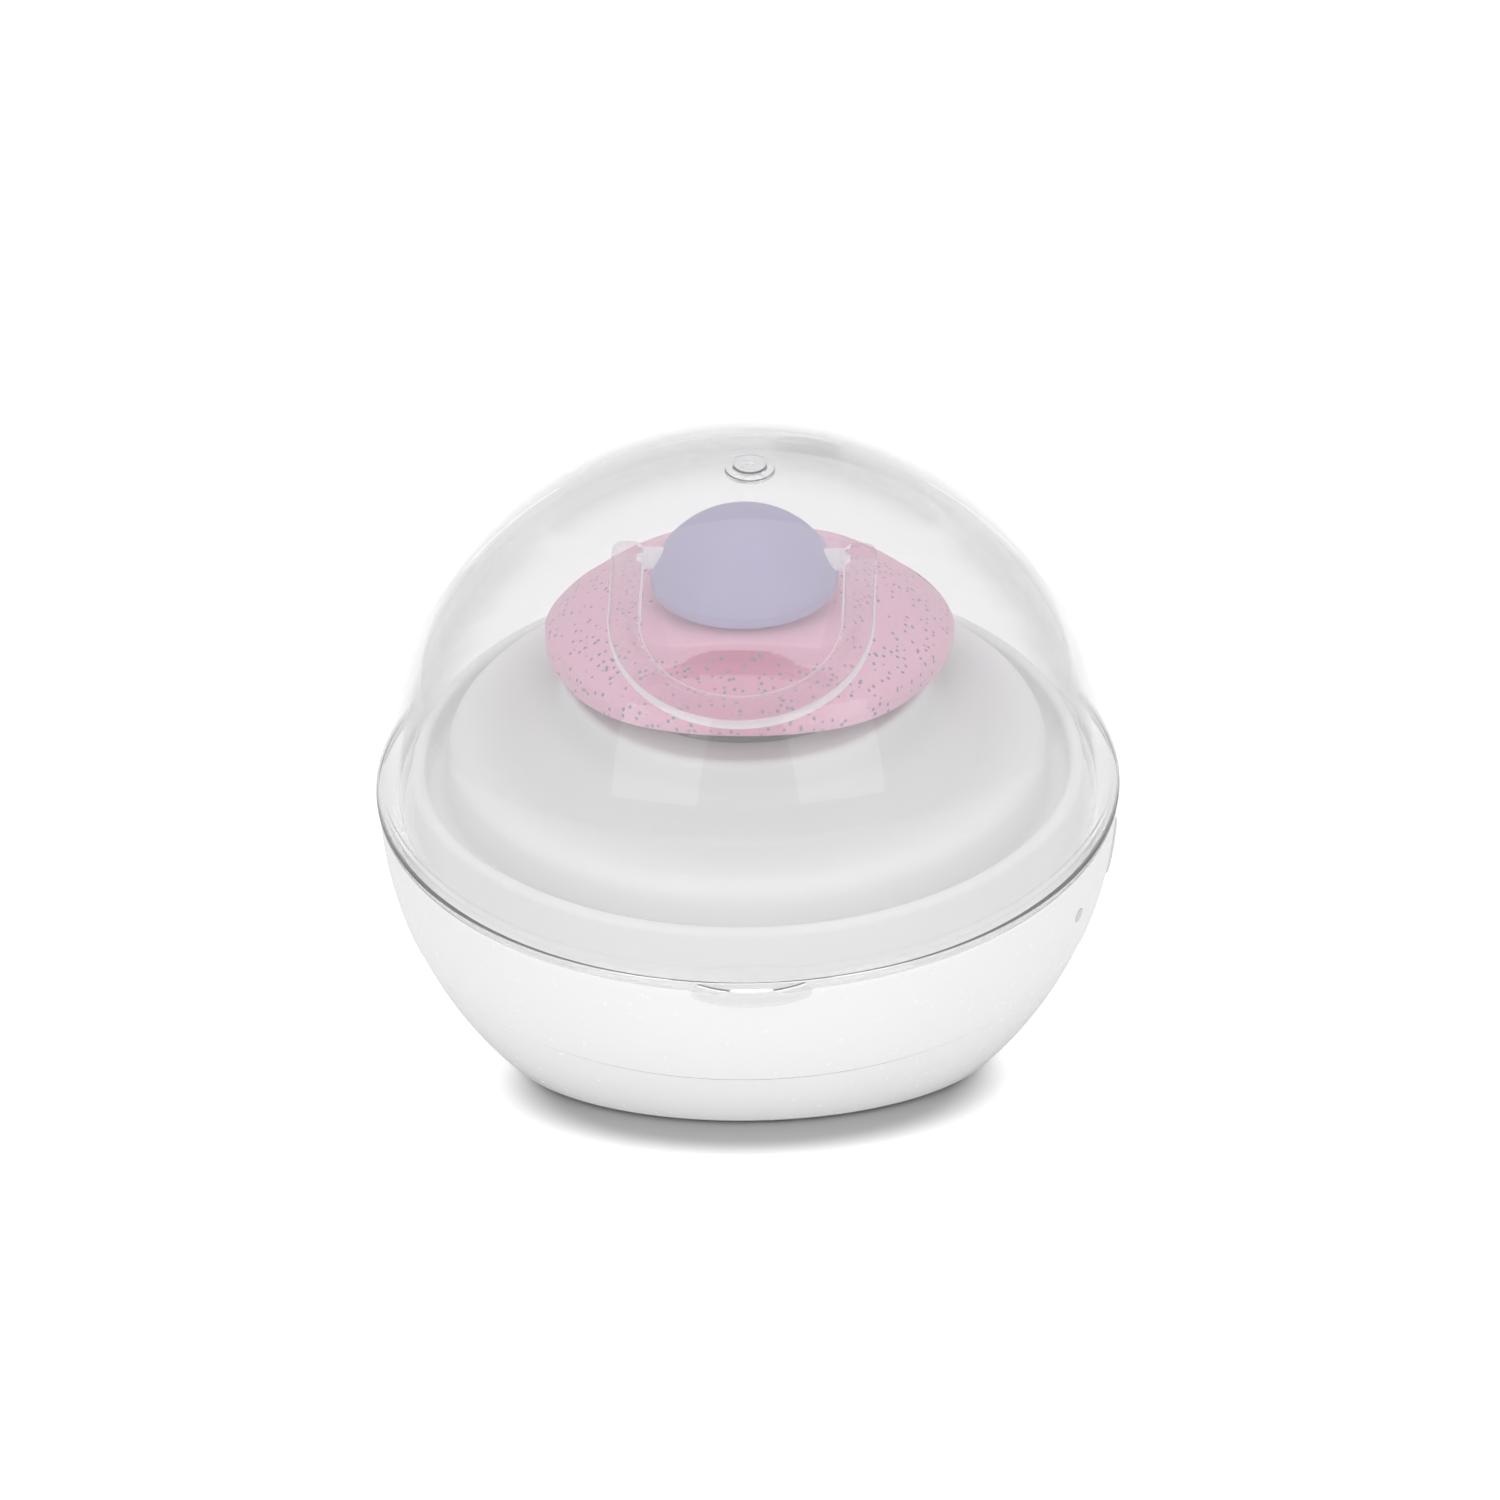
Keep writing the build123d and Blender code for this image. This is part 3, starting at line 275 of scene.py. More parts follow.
def attribute(tree, name, output="Fac"):
    node = tree.nodes.new("ShaderNodeAttribute")
    node.attribute_name = name
    return node.outputs[output]


def mixed(tree, factor, first, second):
    """Mixes two colours, each a tuple or an output."""
    node = tree.nodes.new("ShaderNodeMix")
    node.data_type = "RGBA"
    for name, value in (("A", first), ("B", second)):
        socket = next(s for s in node.inputs if s.name == name and s.type == "RGBA")
        wire(tree, (*value, 1) if isinstance(value, tuple) else value, socket)
    wire(tree, factor, node.inputs["Factor"])
    return next(s for s in node.outputs if s.type == "RGBA")


def blend(tree, factor, first, second):
    """Mixes two shaders."""
    node = tree.nodes.new("ShaderNodeMixShader")
    wire(tree, factor, node.inputs["Fac"])
    tree.links.new(first, node.inputs[1])
    tree.links.new(second, node.inputs[2])
    return node.outputs["Shader"]


def plain(tree, kind, colour):
    """One of the simple shaders in one colour."""
    node = tree.nodes.new("ShaderNodeBsdf" + kind)
    node.inputs["Color"].default_value = (*colour, 1)
    return node.outputs["BSDF"]


def bump(tree, shader, height, distance):
    node = tree.nodes.new("ShaderNodeBump")
    node.inputs["Distance"].default_value = distance
    node.inputs["Strength"].default_value = 0.5
    tree.links.new(height, node.inputs["Height"])
    tree.links.new(node.outputs["Normal"], shader.inputs["Normal"])


def surface(name, colour, roughness, grain=900, shade=0.03, relief=0.00001, **sockets):
    """Moulded or machined surface: slight colour and roughness variation and a fine relief."""
    material, tree, shader, where = new_material(name)
    dark = tuple(c * (1 - shade) for c in colour)
    colour_at = mixed(tree, noise(tree, where, 60), dark, colour)
    tree.links.new(colour_at, shader.inputs["Base Color"])
    fine = noise(tree, where, grain)
    tree.links.new(spread(tree, fine, roughness * 0.85, roughness * 1.15), shader.inputs["Roughness"])
    bump(tree, shader, fine, relief)
    for key, value in sockets.items():
        shader.inputs[key.replace("_", " ")].default_value = value
    return material


def clear(name, colour, roughness, ior, veil=0.0, edge=0.0, edge_power=3.0, body=0.0, fade=0.0):
    """Clear plastic with a faint milky veil, which edge adds to or takes away towards the outline.

    Shadow rays and light from inside pass straight through the wall. body is the share seen straight through
    without bending, for thin or soft pieces, and fade is that share at the outline. A vertex attribute adds
    to the veil or takes it away. On the ring, both the white that edge adds towards the outline and this
    attribute are painted highlights.
    """
    material, tree, shader, where = new_material(name)
    shader.inputs["Base Color"].default_value = (*colour, 1)
    shader.inputs["Transmission Weight"].default_value = 1
    shader.inputs["IOR"].default_value = ior
    fine = noise(tree, where, 500)
    tree.links.new(spread(tree, fine, roughness * 0.7, roughness * 1.3), shader.inputs["Roughness"])
    through = plain(tree, "Transparent", [0.97 * sqrt(c) for c in colour])
    seen = shader.outputs["BSDF"]
    if body:
        seen = blend(tree, body, seen, through)
    if veil or edge:
        haze_and_highlight = blend(tree, 0.5, plain(tree, "Translucent", HAZE_AND_HIGHLIGHT_TINT), plain(tree, "Diffuse", HAZE_AND_HIGHLIGHT_TINT))
        weight = tree.nodes.new("ShaderNodeLayerWeight")
        weight.inputs["Blend"].default_value = 0.5
        facing = weight.outputs["Facing"]
        amount = remap(tree, arithmetic(tree, "POWER", facing, edge_power), target=(veil, veil + edge))
        # Painted highlight from a vertex attribute, which only the ring sets; elsewhere it reads as zero.
        total = arithmetic(tree, "ADD", amount, attribute(tree, "painted_highlight"), clamp=True)
        side = tree.nodes.new("ShaderNodeNewGeometry")
        entering = arithmetic(tree, "SUBTRACT", 1, side.outputs["Backfacing"])
        seen = blend(tree, arithmetic(tree, "MULTIPLY", entering, total), seen, haze_and_highlight)
        if fade:
            outline = remap(tree, facing, (0.45, 0.9), (0, fade), smooth=True)
            seen = blend(tree, outline, seen, plain(tree, "Transparent", OUTLINE_TINT))
    path = tree.nodes.new("ShaderNodeLightPath")
    unseen = arithmetic(tree, "MAXIMUM", path.outputs["Is Shadow Ray"], path.outputs["Is Diffuse Ray"])
    tree.links.new(blend(tree, unseen, seen, through), tree.nodes["Material Output"].inputs["Surface"])
    return material


WHITE = surface("white_shell", (0.90, 0.90, 0.905), 0.24, shade=0.015, relief=0.000002,
                Coat_Weight=0.25, Coat_Roughness=0.08)
BUTTON = surface("button_white", (0.84, 0.84, 0.85), 0.28, shade=0.02)
CLEAR = clear("clear_lid", (0.93, 0.93, 0.932), 0.01, 1.49, veil=0.24, edge=-0.26, edge_power=3.0, fade=0.9)
# The ring's white edges are painted highlights: a white haze towards the outline, plus lines set by a vertex
# attribute.
RING = clear("clear_ring", (0.99, 0.97, 0.98), 0.03, 1.25, veil=0.01, edge=1.2, edge_power=2.4, body=0.85)
SILICONE = clear("teat_silicone", (0.95, 0.93, 0.90), 0.12, 1.41)
GUIDE = surface("light_guide", (0.78, 0.78, 0.79), 0.2, Transmission_Weight=0.2)
QUARTZ = clear("quartz", (0.97, 0.98, 1.0), 0.01, 1.46)
KNOB = surface("knob_lilac", (0.37, 0.33, 0.53), 0.42, shade=0.03, relief=0.000004)
RUBBER = surface("grey_rubber", (0.32, 0.33, 0.35), 0.75, grain=2500, relief=0.00006)
STEEL = surface("steel", (0.60, 0.60, 0.62), 0.30, Metallic=1.0)
MIRROR = surface("reflector", (0.86, 0.86, 0.88), 0.12, grain=300, Metallic=1.0)
NICKEL = surface("nickel", (0.66, 0.64, 0.60), 0.22, Metallic=1.0)
BLACK = surface("black_plastic", (0.025, 0.025, 0.028), 0.5, shade=0.2)
GREEN = surface("green_board", (0.02, 0.12, 0.055), 0.42, grain=1500, shade=0.25)
WHITEBOARD = surface("white_board", (0.75, 0.76, 0.74), 0.45, grain=1500)
CERAMIC = surface("lamp_ceramic", (0.72, 0.62, 0.35), 0.5, shade=0.1)
FERRITE = surface("ferrite", (0.05, 0.05, 0.055), 0.65, shade=0.25, relief=0.00005)
FOIL = surface("battery_foil", (0.52, 0.53, 0.55), 0.35, grain=400, relief=0.00012, Metallic=0.7)
TAPE = surface("foam_tape", (0.70, 0.69, 0.62), 0.85, grain=3000, relief=0.00008)
NYLON = surface("nylon", (0.74, 0.70, 0.60), 0.5)
LEADS = surface("lead_red", (0.45, 0.03, 0.03), 0.45, shade=0.1)


def tray_white():
    """White plastic with painted shade: the shelf and pedestal are coloured greyer than the collar, standing
    in for the shade under the pacifier.
    """
    material, tree, shader, where = new_material("white_tray")
    upright = tree.nodes.new("ShaderNodeVectorRotate")
    upright.rotation_type = "X_AXIS"
    upright.inputs["Center"].default_value = LEANING.translation * MM
    upright.inputs["Angle"].default_value = -LEAN
    tree.links.new(where, upright.inputs["Vector"])
    radius = vectors(tree, "LENGTH", vectors(tree, "MULTIPLY", upright.outputs["Vector"], (1, 1, 0)))
    # Painted shade: greyer towards the middle under the pacifier, full white out at the collar.
    outward = remap(tree, radius, (0.026, 0.035), smooth=True)
    painted_shade_tone = mixed(tree, outward, (0.74, 0.74, 0.745), (0.90, 0.90, 0.905))
    tree.links.new(painted_shade_tone, shader.inputs["Base Color"])
    fine = noise(tree, where, 900)
    tree.links.new(spread(tree, fine, 0.32, 0.42), shader.inputs["Roughness"])
    bump(tree, shader, fine, 0.00001)
    return material


def shield_pink():
    """Dusty pink plastic with small blue-grey printed dots, dense at the front and sparse elsewhere.

    It reads three attributes: the share of painted shade, deepest just in front of the hub, which turns the
    pink darker;
    "printed", the place in millimetres in the shield's frame; and "dots", the share of places that carry a
    dot.
    """
    material, tree, shader, where = new_material("shield_pink")
    wings = mixed(tree, noise(tree, where, 90), (0.77, 0.42, 0.56), (0.82, 0.46, 0.61))
    # The darker pink mixed in here is painted shade, cast by the hub and knob onto the shield's front.
    base = mixed(tree, attribute(tree, "painted_shade_depth"), wings, (0.57, 0.16, 0.29))
    cells = tree.nodes.new("ShaderNodeTexVoronoi")
    cells.inputs["Scale"].default_value = 1.25
    tree.links.new(attribute(tree, "printed", "Vector"), cells.inputs["Vector"])
    split = tree.nodes.new("ShaderNodeSeparateColor")
    tree.links.new(cells.outputs["Color"], split.inputs["Color"])
    chosen = arithmetic(tree, "LESS_THAN", split.outputs["Red"], attribute(tree, "dots"))
    dot = remap(tree, cells.outputs["Distance"], (0.32, 0.24))
    ink = arithmetic(tree, "MULTIPLY", arithmetic(tree, "MULTIPLY", chosen, dot), 0.95)
    tree.links.new(mixed(tree, ink, base, (0.17, 0.21, 0.31)), shader.inputs["Base Color"])
    shader.inputs["Roughness"].default_value = 0.42
    shader.inputs["Subsurface Weight"].default_value = 0.15
    shader.inputs["Subsurface Scale"].default_value = 0.002
    bump(tree, shader, noise(tree, where, 1200), 0.00002)
    return material


# ---------------------------------------------------------------- clear lid

def lid():
    """Dome with a bead round its rim, a vent boss on top, a thumb tab, a hinge arm and a magnet seat."""
    bead, inner = 0.35, BALL - LID_WALL
    middle = LID_GAP + 0.6
    corner = [on_ball(inner, LID_GAP + 0.15), on_ball(inner, LID_GAP), on_ball(BALL, LID_GAP)]
    profile = ball_arc(inner, inner, LID_GAP + 0.15, 72) + rounded(corner, (0.12,), 3)[1:-1]
    for k in range(11):
        a = radians(-88 + 176 * k / 10)
        profile.append(Vector((BALL - 0.02 + (bead + 0.02) * cos(a), middle + 0.6 * sin(a))))
    profile += ball_arc(BALL, middle + 0.62, BALL, 80)
    dome = lathe(profile, 256)
    steps = [
        ("UNION", rod(2.75, WALL_MIDDLE, BALL + 0.35, 0.15, axis=VENT)),
        ("UNION", rod(1.9, BALL, BALL + 0.8, 0.3, axis=VENT)),
        ("UNION", thumb_tab()),
        ("UNION", hinge_arm()),
        ("UNION", magnet_cup()),
        ("DIFFERENCE", rod(0.5, BALL + 0.55, BALL + 2, axis=VENT)),
        ("DIFFERENCE", rod(1.05, -20, 20, axis=along_x(*HINGE))),
        ("DIFFERENCE", rod(2.5, 0, 1.5, axis=along_y(*MAGNET_SEAT))),
    ]
    return piece("lid_dome_clear", combine(dome, *steps), "lid", CLEAR, ["lid_dome"])


def ball_mesh(radius, turns=192, steps=96):
    return lathe(ball_arc(radius, -radius, radius, steps), turns)


def thumb_tab():
    reach, radius = BALL + 1.8, 11.5
    disc = rod(radius, -0.9, 1.3, 0.6, 160, Matrix.Translation((0, radius - reach, 0)))
    passing = combine(ball_mesh(BALL + 0.3), ("INTERSECT", block((-60, 60), (-60, 60), (-60, LID_GAP))))
    return combine(
        disc,
        ("DIFFERENCE", passing),
        ("DIFFERENCE", ball_mesh(WALL_MIDDLE)),
        ("INTERSECT", block((-60, 60), (-60, 0), (-60, 60))),
    )


def hinge_arm():
    side = KNUCKLE_SPLIT[0]
    arm = block((-side, side), (40.7, HINGE[1]), (LID_GAP, 1.7))
    knuckle = rod(KNUCKLE_RADIUS, -side, side, 0.3, axis=along_x(*HINGE))
    return combine(arm, ("DIFFERENCE", ball_mesh(WALL_MIDDLE)), ("UNION", knuckle))


def magnet_cup():
    cup = rod(3.1, 0, 12, axis=along_y(*MAGNET_SEAT))
    return combine(cup, ("INTERSECT", ball_mesh(WALL_MIDDLE)))


# ---------------------------------------------------------------- white case

def band():
    """Upper ring of the white case with its hinge ears, and openings for button, port and status light."""
    foot = [on_ball(BALL, BAND_FOOT + 0.1), on_ball(BALL, BAND_FOOT), on_ball(BAND_INNER, BAND_FOOT)]
    profile = ball_arc(BAND_INNER, BAND_FOOT, -3.3, 12)
    profile += [Vector((37.4, -3.2)), Vector((37.4, -1.6)), Vector((39.95, -1.6)), Vector((BAND_INNER, 0))]
    profile += rounded([(BAND_INNER, 0), (BALL, 0), on_ball(BALL, -1.2)], (0.35,), 6)[1:-1]
    profile += ball_arc(BALL, -0.5, BAND_FOOT + 0.1, 26)
    profile += rounded(foot, (0.05,), 3)[1:-1]
    steps = []
    for side in (-1, 1):
        start, end = sorted((side * KNUCKLE_SPLIT[1], side * 11.0))
        arm = combine(block((start, end), (40, HINGE[1]), (-3.3, -0.4)), ("DIFFERENCE", ball_mesh(BALL - 1)))
        steps += [("UNION", arm), ("UNION", rod(KNUCKLE_RADIUS, start, end, 0.3, axis=along_x(*HINGE)))]
    steps += [
        ("DIFFERENCE", rod(3.4, 37, 60, turns=96, axis=along_x(*BUTTON_AXIS))),
        ("DIFFERENCE", slot_bar(9.38, 3.70, 36, 60, PORT_HEIGHT)),
        ("DIFFERENCE", slot_bar(11.8, 6.4, 40.2, 60, PORT_HEIGHT)),
        ("DIFFERENCE", rod(0.85, 36, 60, turns=48, axis=light_axis())),
    ]
    whole = combine(lathe(profile, 256), *steps)
    return piece("outer_band_white", whole, "base", WHITE, ["outer_band"])


def light_axis():
    """Outward axis of the status light."""
    return Matrix.Rotation(radians(-28), 4, "Z") @ Matrix.Rotation(pi / 2 - asin(-5.8 / BALL), 4, "Y")


def button():
    """Cap with a flange behind the wall and a stem towards the switch."""
    cap = combine(
        rod(3.2, 37.7, 60, turns=96, axis=along_x(*BUTTON_AXIS)),
        ("INTERSECT", ball_mesh(BALL + 0.3)),
        ("UNION", rod(3.9, 36.9, 37.7, turns=96, axis=along_x(*BUTTON_AXIS))),
        ("UNION", rod(1.4, 36.1, 37.0, axis=along_x(*BUTTON_AXIS))),
    )
    return piece("power_button_cap", cap, "power_button", BUTTON, ["power_button"])


# ---------------------------------------------------------------- pacifier

def outline_points(count):
    """Closed outline of the shield, sampled at even polar angles."""
    half = [(0, -20), (5, -19.4), (10, -17.4), (14, -14.4), (17.5, -10), (20, -5), (21.9, 0), (23.0, 5.5),
            (23.3, 11), (22.2, 17), (19, 21.5), (14.5, 23.6), (10, 22.6), (5, 19.8)]
    loop = [Vector(p) for p in half] + [Vector((0, 19))] + [Vector((-x, y)) for x, y in reversed(half[1:])]
    n, dense = len(loop), []
    for i in range(n):
        a, b, c, d = (loop[(i + k) % n] for k in (-1, 0, 1, 2))
        for step in range(24):
            t = step / 24
            dense.append(0.5 * (2 * b + (c - a) * t + (2 * a - 5 * b + 4 * c - d) * t**2
                                + (3 * b - a - 3 * c + d) * t**3))
    dense.sort(key=lambda p: atan2(p.y, p.x))
    angles = [atan2(p.y, p.x) for p in dense]
    radii, k = [], 0
    for i in range(count):
        a = -pi + 2 * pi * i / count
        while k < len(angles) and angles[k] < a:
            k += 1
        low, high = dense[k - 1], dense[k % len(dense)]
        span = (atan2(high.y, high.x) - atan2(low.y, low.x)) % (2 * pi)
        t = ((a - atan2(low.y, low.x)) % (2 * pi)) / span if span else 0
        radii.append(low.length * (1 - t) + high.length * t)
    return radii


def bent(level, bend, long_bend, crown=0):
    """Height over (x, y) of a face bent both ways."""
    axis = level - bend

    def height(x, y):
        reach = level - long_bend + sqrt(long_bend**2 - (y - crown) ** 2) - axis
        return axis + sqrt(reach**2 - x**2)

    return height


def shield():
    """Bent plate with a rounded rim and a hub that steps up at the front and blends into the wings."""
    count, edge_round, step_round = 256, 0.7, 0.4
    seat, seat_radius, bore = 20.45, 8.9, 6.05
    edge = outline_points(count)
    angles = [-pi + 2 * pi * i / count for i in range(count)]
    under, top, crest = bent(19.45, 54.1, 220), bent(26.08, 33.9, 46.9, 2.8), bent(26.2, 33.9, 168)

    def hub(a, half_width, half_depth, power=3.2):
        return (abs(cos(a) / half_width) ** power + abs(sin(a) / half_depth) ** power) ** (-1 / power)

    def ring(radius, height):
        points = []
        for i, a in enumerate(angles):
            r = radius(i, a)
            x, y = r * cos(a), r * sin(a)
            points.append(Vector((x, y, height(x, y))))
        return points

    def rim(turn, face, side):
        return ring(lambda i, a: edge[i] - edge_round * (1 - cos(turn)),
                    lambda x, y: face(x, y) - side * edge_round * (1 - abs(sin(turn))))

    def foot(i, a):
        return hub(a, 12.9, 12.5)

    def climb(share):
        """Height over (x, y) at this share of the way from the plate to the hub."""
        return lambda x, y: top(x, y) + (crest(x, y) - top(x, y)) * share

    rings = [rim(radians(-90 + 15 * k), under, -1) for k in range(7)]
    rings += [rim(radians(15 * k), top, 1) for k in range(7)]
    for k in range(1, 14):
        t = k / 14
        rings.append(ring(lambda i, a: (edge[i] - edge_round) * (1 - t) + (foot(i, a) + step_round) * t, top))
    for k in range(6):
        t = k / 5
        rings.append(ring(lambda i, a: foot(i, a) + step_round * (1 - sin(t * pi / 2)),
                          climb(0.3 * (1 - cos(t * pi / 2)))))
    for k in range(1, 5):
        t = k / 5
        rings.append(ring(lambda i, a: foot(i, a) - step_round * t, climb(0.3 + 0.5 * t)))
    for k in range(7):
        turn = radians(90 * k / 6)
        rings.append(ring(lambda i, a: foot(i, a) - step_round - 0.5 * (1 - cos(turn)),
                          climb(0.8 + 0.2 * sin(turn))))
    for k in range(1, 5):
        t = k / 5
        rings.append(ring(lambda i, a: (foot(i, a) - step_round - 0.5) * (1 - t) + seat_radius * t, crest))
    rings.append(ring(lambda i, a: seat_radius, crest))
    rings.append(ring(lambda i, a: seat_radius, lambda x, y: seat))
    rings.append(ring(lambda i, a: bore, lambda x, y: seat))
    rings.append(ring(lambda i, a: bore, under))
    for k in range(1, 10):
        t = k / 10
        rings.append(ring(lambda i, a: bore * (1 - t) + (edge[i] - edge_round) * t, under))
    obj = piece("pacifier_shield_pink", loft(rings), "pacifier", shield_pink(),
                ["pacifier_shield"], PACIFIER)
    for name, kind in (("dots", "FLOAT"), ("painted_shade_depth", "FLOAT"), ("printed", "FLOAT_VECTOR")):
        obj.data.attributes.new(name, kind, "POINT")
    dots, painted_shade_depth, printed = (obj.data.attributes[name].data for name in ("dots", "painted_shade_depth", "printed"))
    back, front_step = PACIFIER.inverted() @ Matrix.Scale(1 / MM, 4), -12.2
    for k, v in enumerate(obj.data.vertices):
        p = back @ v.co
        on_hub = abs(p.x) < 11.5 and front_step < p.y < 12 and p.z > top(p.x, p.y) + 0.4
        spread_out = 0.78 - 0.03 * max(0, abs(p.x) - 8)
        dots[k].value = 0.0 if on_hub else spread_out if p.y < 14 else 0.3
        # Painted shade of the hub and knob: full in the strip just in front of the hub's step, half further
        # forward, faint elsewhere, fading towards the sides.
        shaded = 1.0 if -14 < p.y < front_step else 0.5 if p.y <= -14 else 0.15
        painted_shade_depth[k].value = max(0, 1 - (p.x / 12) ** 2) * shaded
        printed[k].vector = p
    return obj


def knob():
    """Low dome on a short skirt, hollowed underneath round its stem."""
    rim, skirt, top, radius = 26.35, 27.75, 34.75, 10.4
    stem, stem_foot, hollow, hollow_top = 4.6, 18.05, 8.7, 22.05
    rise = top - skirt
    bend = (radius**2 + rise**2) / (2 * rise)
    centre = top - bend
    reach = asin(radius / bend)
    slopes = [reach * (1 - k / 40) for k in range(41)]
    dome = [Vector((bend * sin(a), centre + bend * cos(a))) for a in slopes]
    dome[-1].x = 0
    corner = rounded([(hollow, rim), (radius, rim), (radius, skirt), tuple(dome[2])], (0.4, 0.6), 6)[:-1]
    inside = [(0, stem_foot), (stem, stem_foot), (stem, hollow_top), (hollow, hollow_top)]
    profile = [Vector(p) for p in inside] + corner + dome[2:]
    return piece("pacifier_knob_lilac", lathe(profile, 192), "pacifier", KNOB,
                 ["pacifier_knob"], PACIFIER)


def ring():
    """U-shaped ring with two pins; its frame has the pins' axis as x and the ring lying along -y."""
    middle, leg, tail, half_width, half_height = 12.775, 8.7, 1.9, 1.8, 1.3
    pivot_height, droop = 29.3, radians(19.9)
    path = [(Vector((-middle, tail - 0.4 * k)), Vector((0, -1))) for k in range(26)]
    for k in range(1, 72):
        a = pi + pi * k / 72
        path.append((Vector((middle * cos(a), -leg + middle * sin(a))), Vector((-sin(a), cos(a)))))
    path += [(Vector((middle, tail - 0.4 * k)), Vector((0, 1))) for k in reversed(range(26))]
    section = []
    for k in range(32):
        a = 2 * pi * k / 32
        section.append((half_width * abs(cos(a)) ** 0.7 * (1 if cos(a) > 0 else -1),
                        half_height * abs(sin(a)) ** 0.7 * (1 if sin(a) > 0 else -1)))
    rings = []
    for n, (point, ahead) in enumerate(path):
        side = Vector((-ahead.y, ahead.x))
        close = min(n, len(path) - 1 - n)
        shrink = sqrt(1 - (1 - close / 3) ** 2) * 0.9 + 0.1 if close < 3 else 1
        rings.append([Vector((*(point + side * u * shrink), v * shrink)) for u, v in section])
    ends = [[sum(r, Vector()) / len(r)] for r in (rings[0], rings[-1])]
    band = loft([ends[0]] + rings + [ends[1]], close=False)
    steps = []
    for turn in (0, pi):
        spin = Matrix.Rotation(turn, 4, "Z")
        steps.append(("UNION", rod(1.25, 10.7, 12.8, 0.2, axis=spin @ along_x())))
        steps.append(("UNION", rod(1.2, 7.6, 12.3, 0.15, axis=spin @ along_x())))
    place = PACIFIER @ Matrix.Translation((0, 0, pivot_height)) @ Matrix.Rotation(droop, 4, "X")
    obj = piece("pacifier_ring_clear", combine(band, *steps), "pacifier_ring", RING,
                ["pacifier_ring"], place)
    # Painted highlight lines: white beside the pins and along the outer and inner edges, and no outline haze
    # on the caps at the leg ends.
    painted_highlight = obj.data.attributes.new("painted_highlight", "FLOAT", "POINT").data
    back = place.inverted() @ Matrix.Scale(1 / MM, 4)
    for v, share in zip(obj.data.vertices, painted_highlight):
        p = back @ v.co
        offset = (abs(p.x) if p.y > -leg else sqrt(p.x**2 + (p.y + leg) ** 2)) - middle
        beside_pin = offset < -1.1 and p.y > -1.5
        outer_line = offset > 1.6 and p.y < -2.5
        inner_line = offset < -1.6 and -leg < p.y < -1
        at_end = p.y > -0.2
        share.value = 0.9 if beside_pin else 0.8 if outer_line or inner_line else -1.0 if at_end else 0.0
    return obj


# ---------------------------------------------------------------- pieces that keep their CAD shape

FINISH = {
    "lid_magnet": NICKEL, "hinge_pin": STEEL, "grip_pad": RUBBER, "case_screws": STEEL,
    "reflector_cup": MIRROR, "window_gasket": RUBBER, "uv_window": QUARTZ, "window_spacer": BLACK,
    "led_board": WHITEBOARD,
    "uv_leds": CERAMIC, "lamp_screws": STEEL, "main_board": GREEN, "usb_socket": STEEL, "push_switch": BLACK,
    "switch_plunger": BLACK, "status_led": CERAMIC, "status_light": GUIDE, "lid_sensor": BLACK,
    "controller_chip": BLACK, "charger_chip": BLACK, "boost_coil": FERRITE, "battery": FOIL,
    "battery_tape": TAPE, "battery_plug": NYLON, "battery_leads": LEADS, "pacifier_teat": SILICONE,
    "bottom_cup": WHITE, "inner_tray": tray_white(),
}


def dress(name, material):
    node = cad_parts[name]
    node.data.materials.clear()
    node.data.materials.append(material)


# ---------------------------------------------------------------- room, lamps and camera

def floor():
    """Floor that the camera and clear plastic see as white outside an oval of painted shadow under the case,
    which darkens the case's real shadow there.
    """
    bm = bmesh.new()
    bmesh.ops.create_grid(bm, x_segments=8, y_segments=8, size=3.0)
    mesh = bpy.data.meshes.new("floor")
    bm.to_mesh(mesh)
    plane = bpy.data.objects.new("floor", mesh)
    bpy.context.collection.objects.link(plane)
    material, tree, shader, where = new_material("floor_white")
    shader.inputs["Roughness"].default_value = 0.9
    shader.inputs["Specular IOR Level"].default_value = 0.1
    path = tree.nodes.new("ShaderNodeLightPath")
    seen = arithmetic(tree, "MAXIMUM", path.outputs["Is Camera Ray"], path.outputs["Is Transmission Ray"])
    # Painted shadow: camera and glass see the floor at half its albedo, and the white glow is left out inside
    # an oval set forward under the case.
    tree.links.new(mixed(tree, seen, (0.94, 0.94, 0.94), (0.5, 0.5, 0.5)), shader.inputs["Base Color"])
    across, painted_shade_depth, ahead = 0.031, 0.027, 0.014
    from_middle = vectors(tree, "MULTIPLY_ADD", where, (1 / across, 1 / painted_shade_depth, 0), (0, ahead / painted_shade_depth, 0))
    rise = remap(tree, vectors(tree, "LENGTH", from_middle), (0.70, 1.0), (0.0, 0.75), smooth=True)
    shader.inputs["Emission Color"].default_value = (1, 1, 1, 1)
    tree.links.new(arithmetic(tree, "MULTIPLY", seen, rise), shader.inputs["Emission Strength"])
    mesh.materials.append(material)


def area_lamp(name, place, target, size, power):
    data = bpy.data.lights.new(name, "AREA")
    data.shape, data.size, data.size_y, data.energy = "RECTANGLE", *size, power
    lamp = bpy.data.objects.new(name, data)
    lamp.location = place
    lamp.rotation_euler = (Vector(target) - Vector(place)).to_track_quat("-Z", "Y").to_euler()
    lamp.visible_glossy = False
    bpy.context.collection.objects.link(lamp)
    return lamp


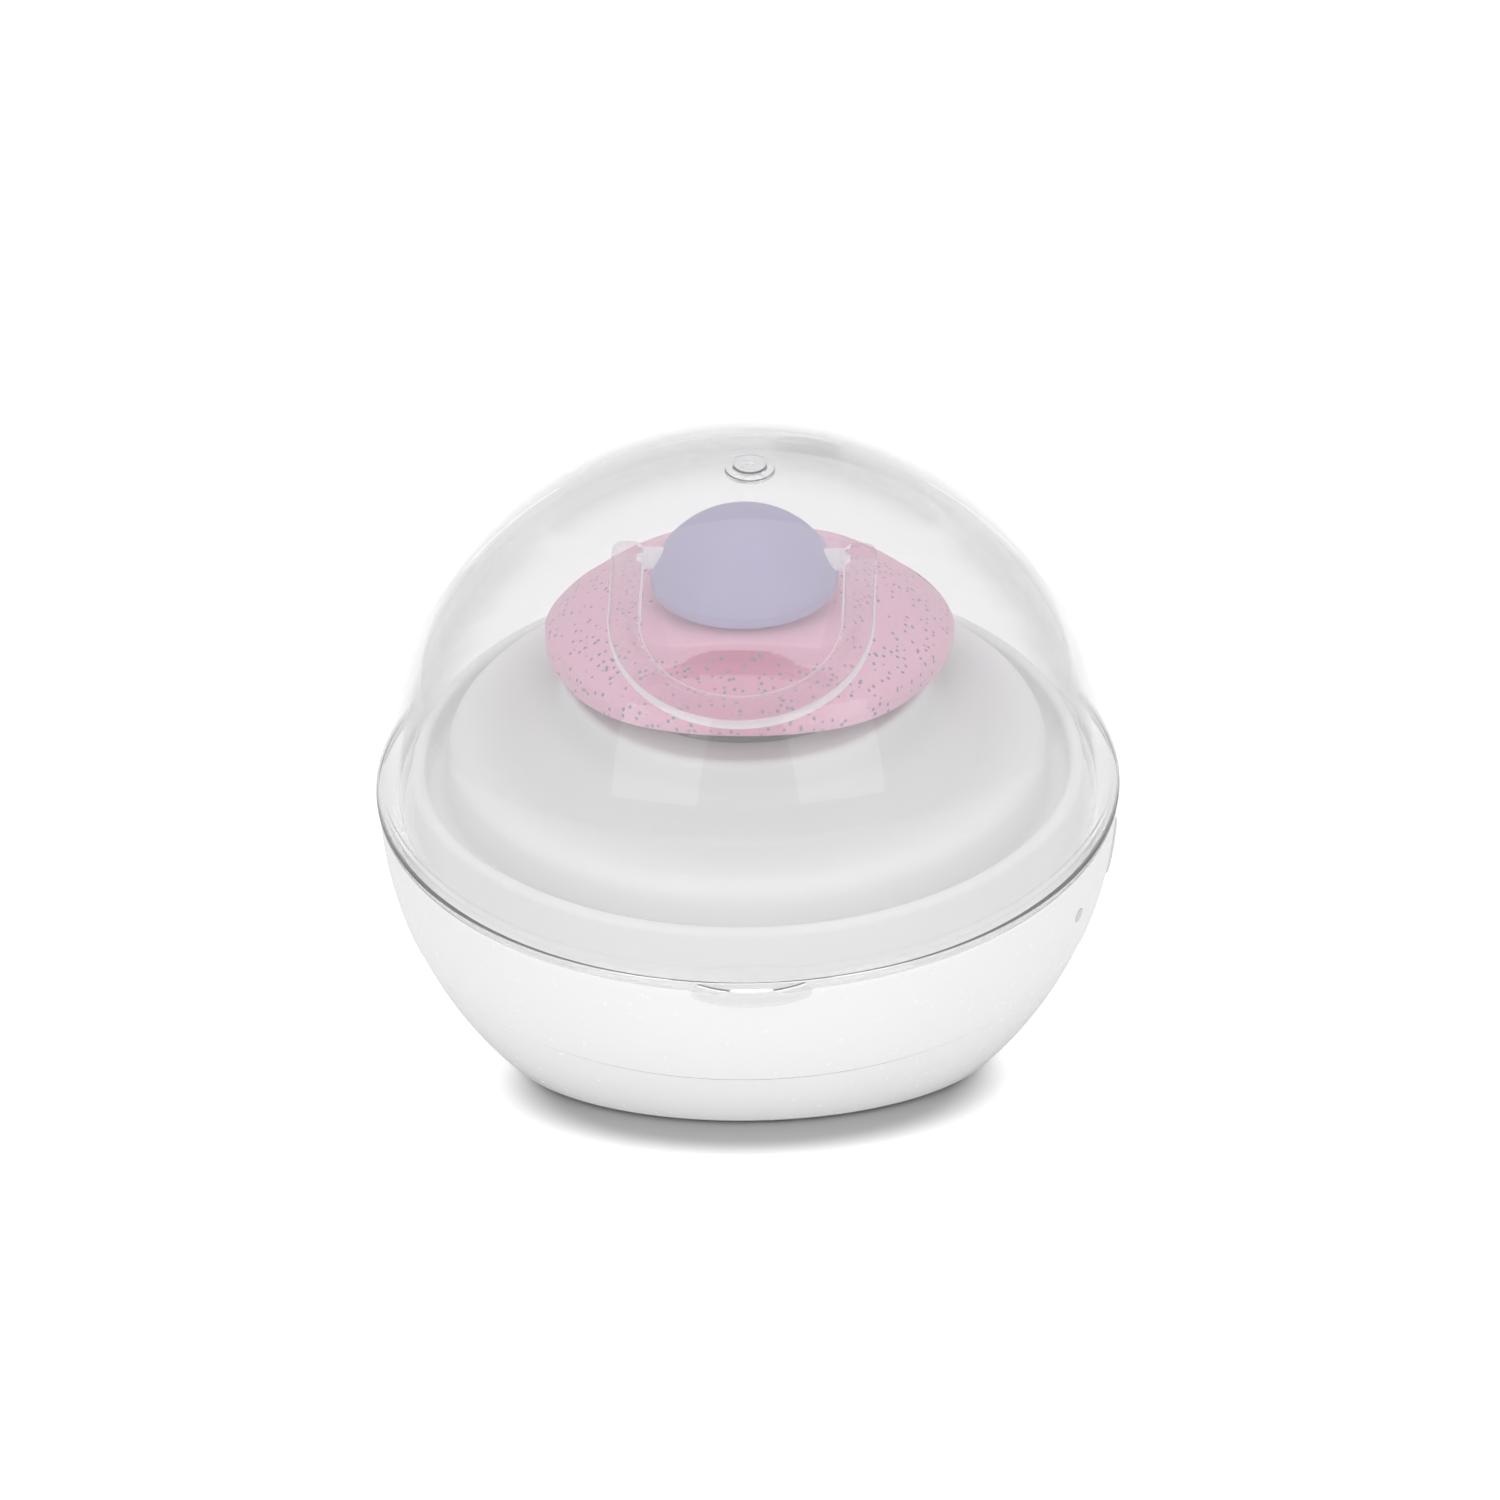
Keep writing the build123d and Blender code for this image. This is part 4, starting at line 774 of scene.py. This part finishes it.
def room():
    """Soft even light; the camera, and glass seen by it, meet a white backdrop."""
    world = bpy.data.worlds.new("studio")
    bpy.context.scene.world = world
    world.use_nodes = True
    tree = world.node_tree
    path = tree.nodes.new("ShaderNodeLightPath")
    ambient = tree.nodes["Background"]
    ambient.inputs["Color"].default_value = (1, 1, 1, 1)
    ambient.inputs["Strength"].default_value = 0.68
    white = tree.nodes.new("ShaderNodeBackground")
    white.inputs["Strength"].default_value = 1.0
    where = tree.nodes.new("ShaderNodeTexCoord")
    facing = vectors(tree, "DOT_PRODUCT", where.outputs["Generated"], (0, 0.98, 0.17))
    mirrored = tree.nodes.new("ShaderNodeBackground")
    tree.links.new(remap(tree, facing, (0.45, 0.62), (0.72, 1.0), smooth=True), mirrored.inputs["Strength"])
    seen = arithmetic(tree, "MAXIMUM", path.outputs["Is Camera Ray"], path.outputs["Is Transmission Ray"])
    lit = blend(tree, path.outputs["Is Glossy Ray"], ambient.outputs[0], mirrored.outputs[0])
    tree.links.new(blend(tree, seen, lit, white.outputs[0]), tree.nodes["World Output"].inputs["Surface"])
    area_lamp("overhead", (0, -0.1, 0.95), (0, 0, 0.03), (0.8, 0.8), 2.2)
    for side in (-1, 1):
        area_lamp("front_fill", (0.55 * side, -0.95, 0.5), (0, 0, 0.03), (0.6, 0.6), 2.2)


def camera():
    """Seen from the front, 16.4 degrees down, 0.67 m from the ball's centre."""
    data = bpy.data.cameras.new("camera")
    data.sensor_width, data.lens = 36, 141.5
    view = bpy.data.objects.new("camera", data)
    down = radians(16.38)
    centre = Vector((0, 0, BALL_HEIGHT * MM))
    view.location = centre - Vector((0, cos(down), -sin(down))) * 0.672
    yaw, pitch, roll = radians(-0.027), radians(90 - 16.38 + 0.315), radians(-1.0)
    view.matrix_world = (Matrix.Translation(view.location) @ Matrix.Rotation(yaw, 4, "Z")
                         @ Matrix.Rotation(pitch, 4, "X") @ Matrix.Rotation(roll, 4, "Z"))
    bpy.context.collection.objects.link(view)
    bpy.context.scene.camera = view


for node_name, node_material in FINISH.items():
    dress(node_name, node_material)
lid()
band()
button()
shield()
knob()
ring()
floor()
room()
camera()
bpy.context.scene.view_settings.view_transform = "Standard"
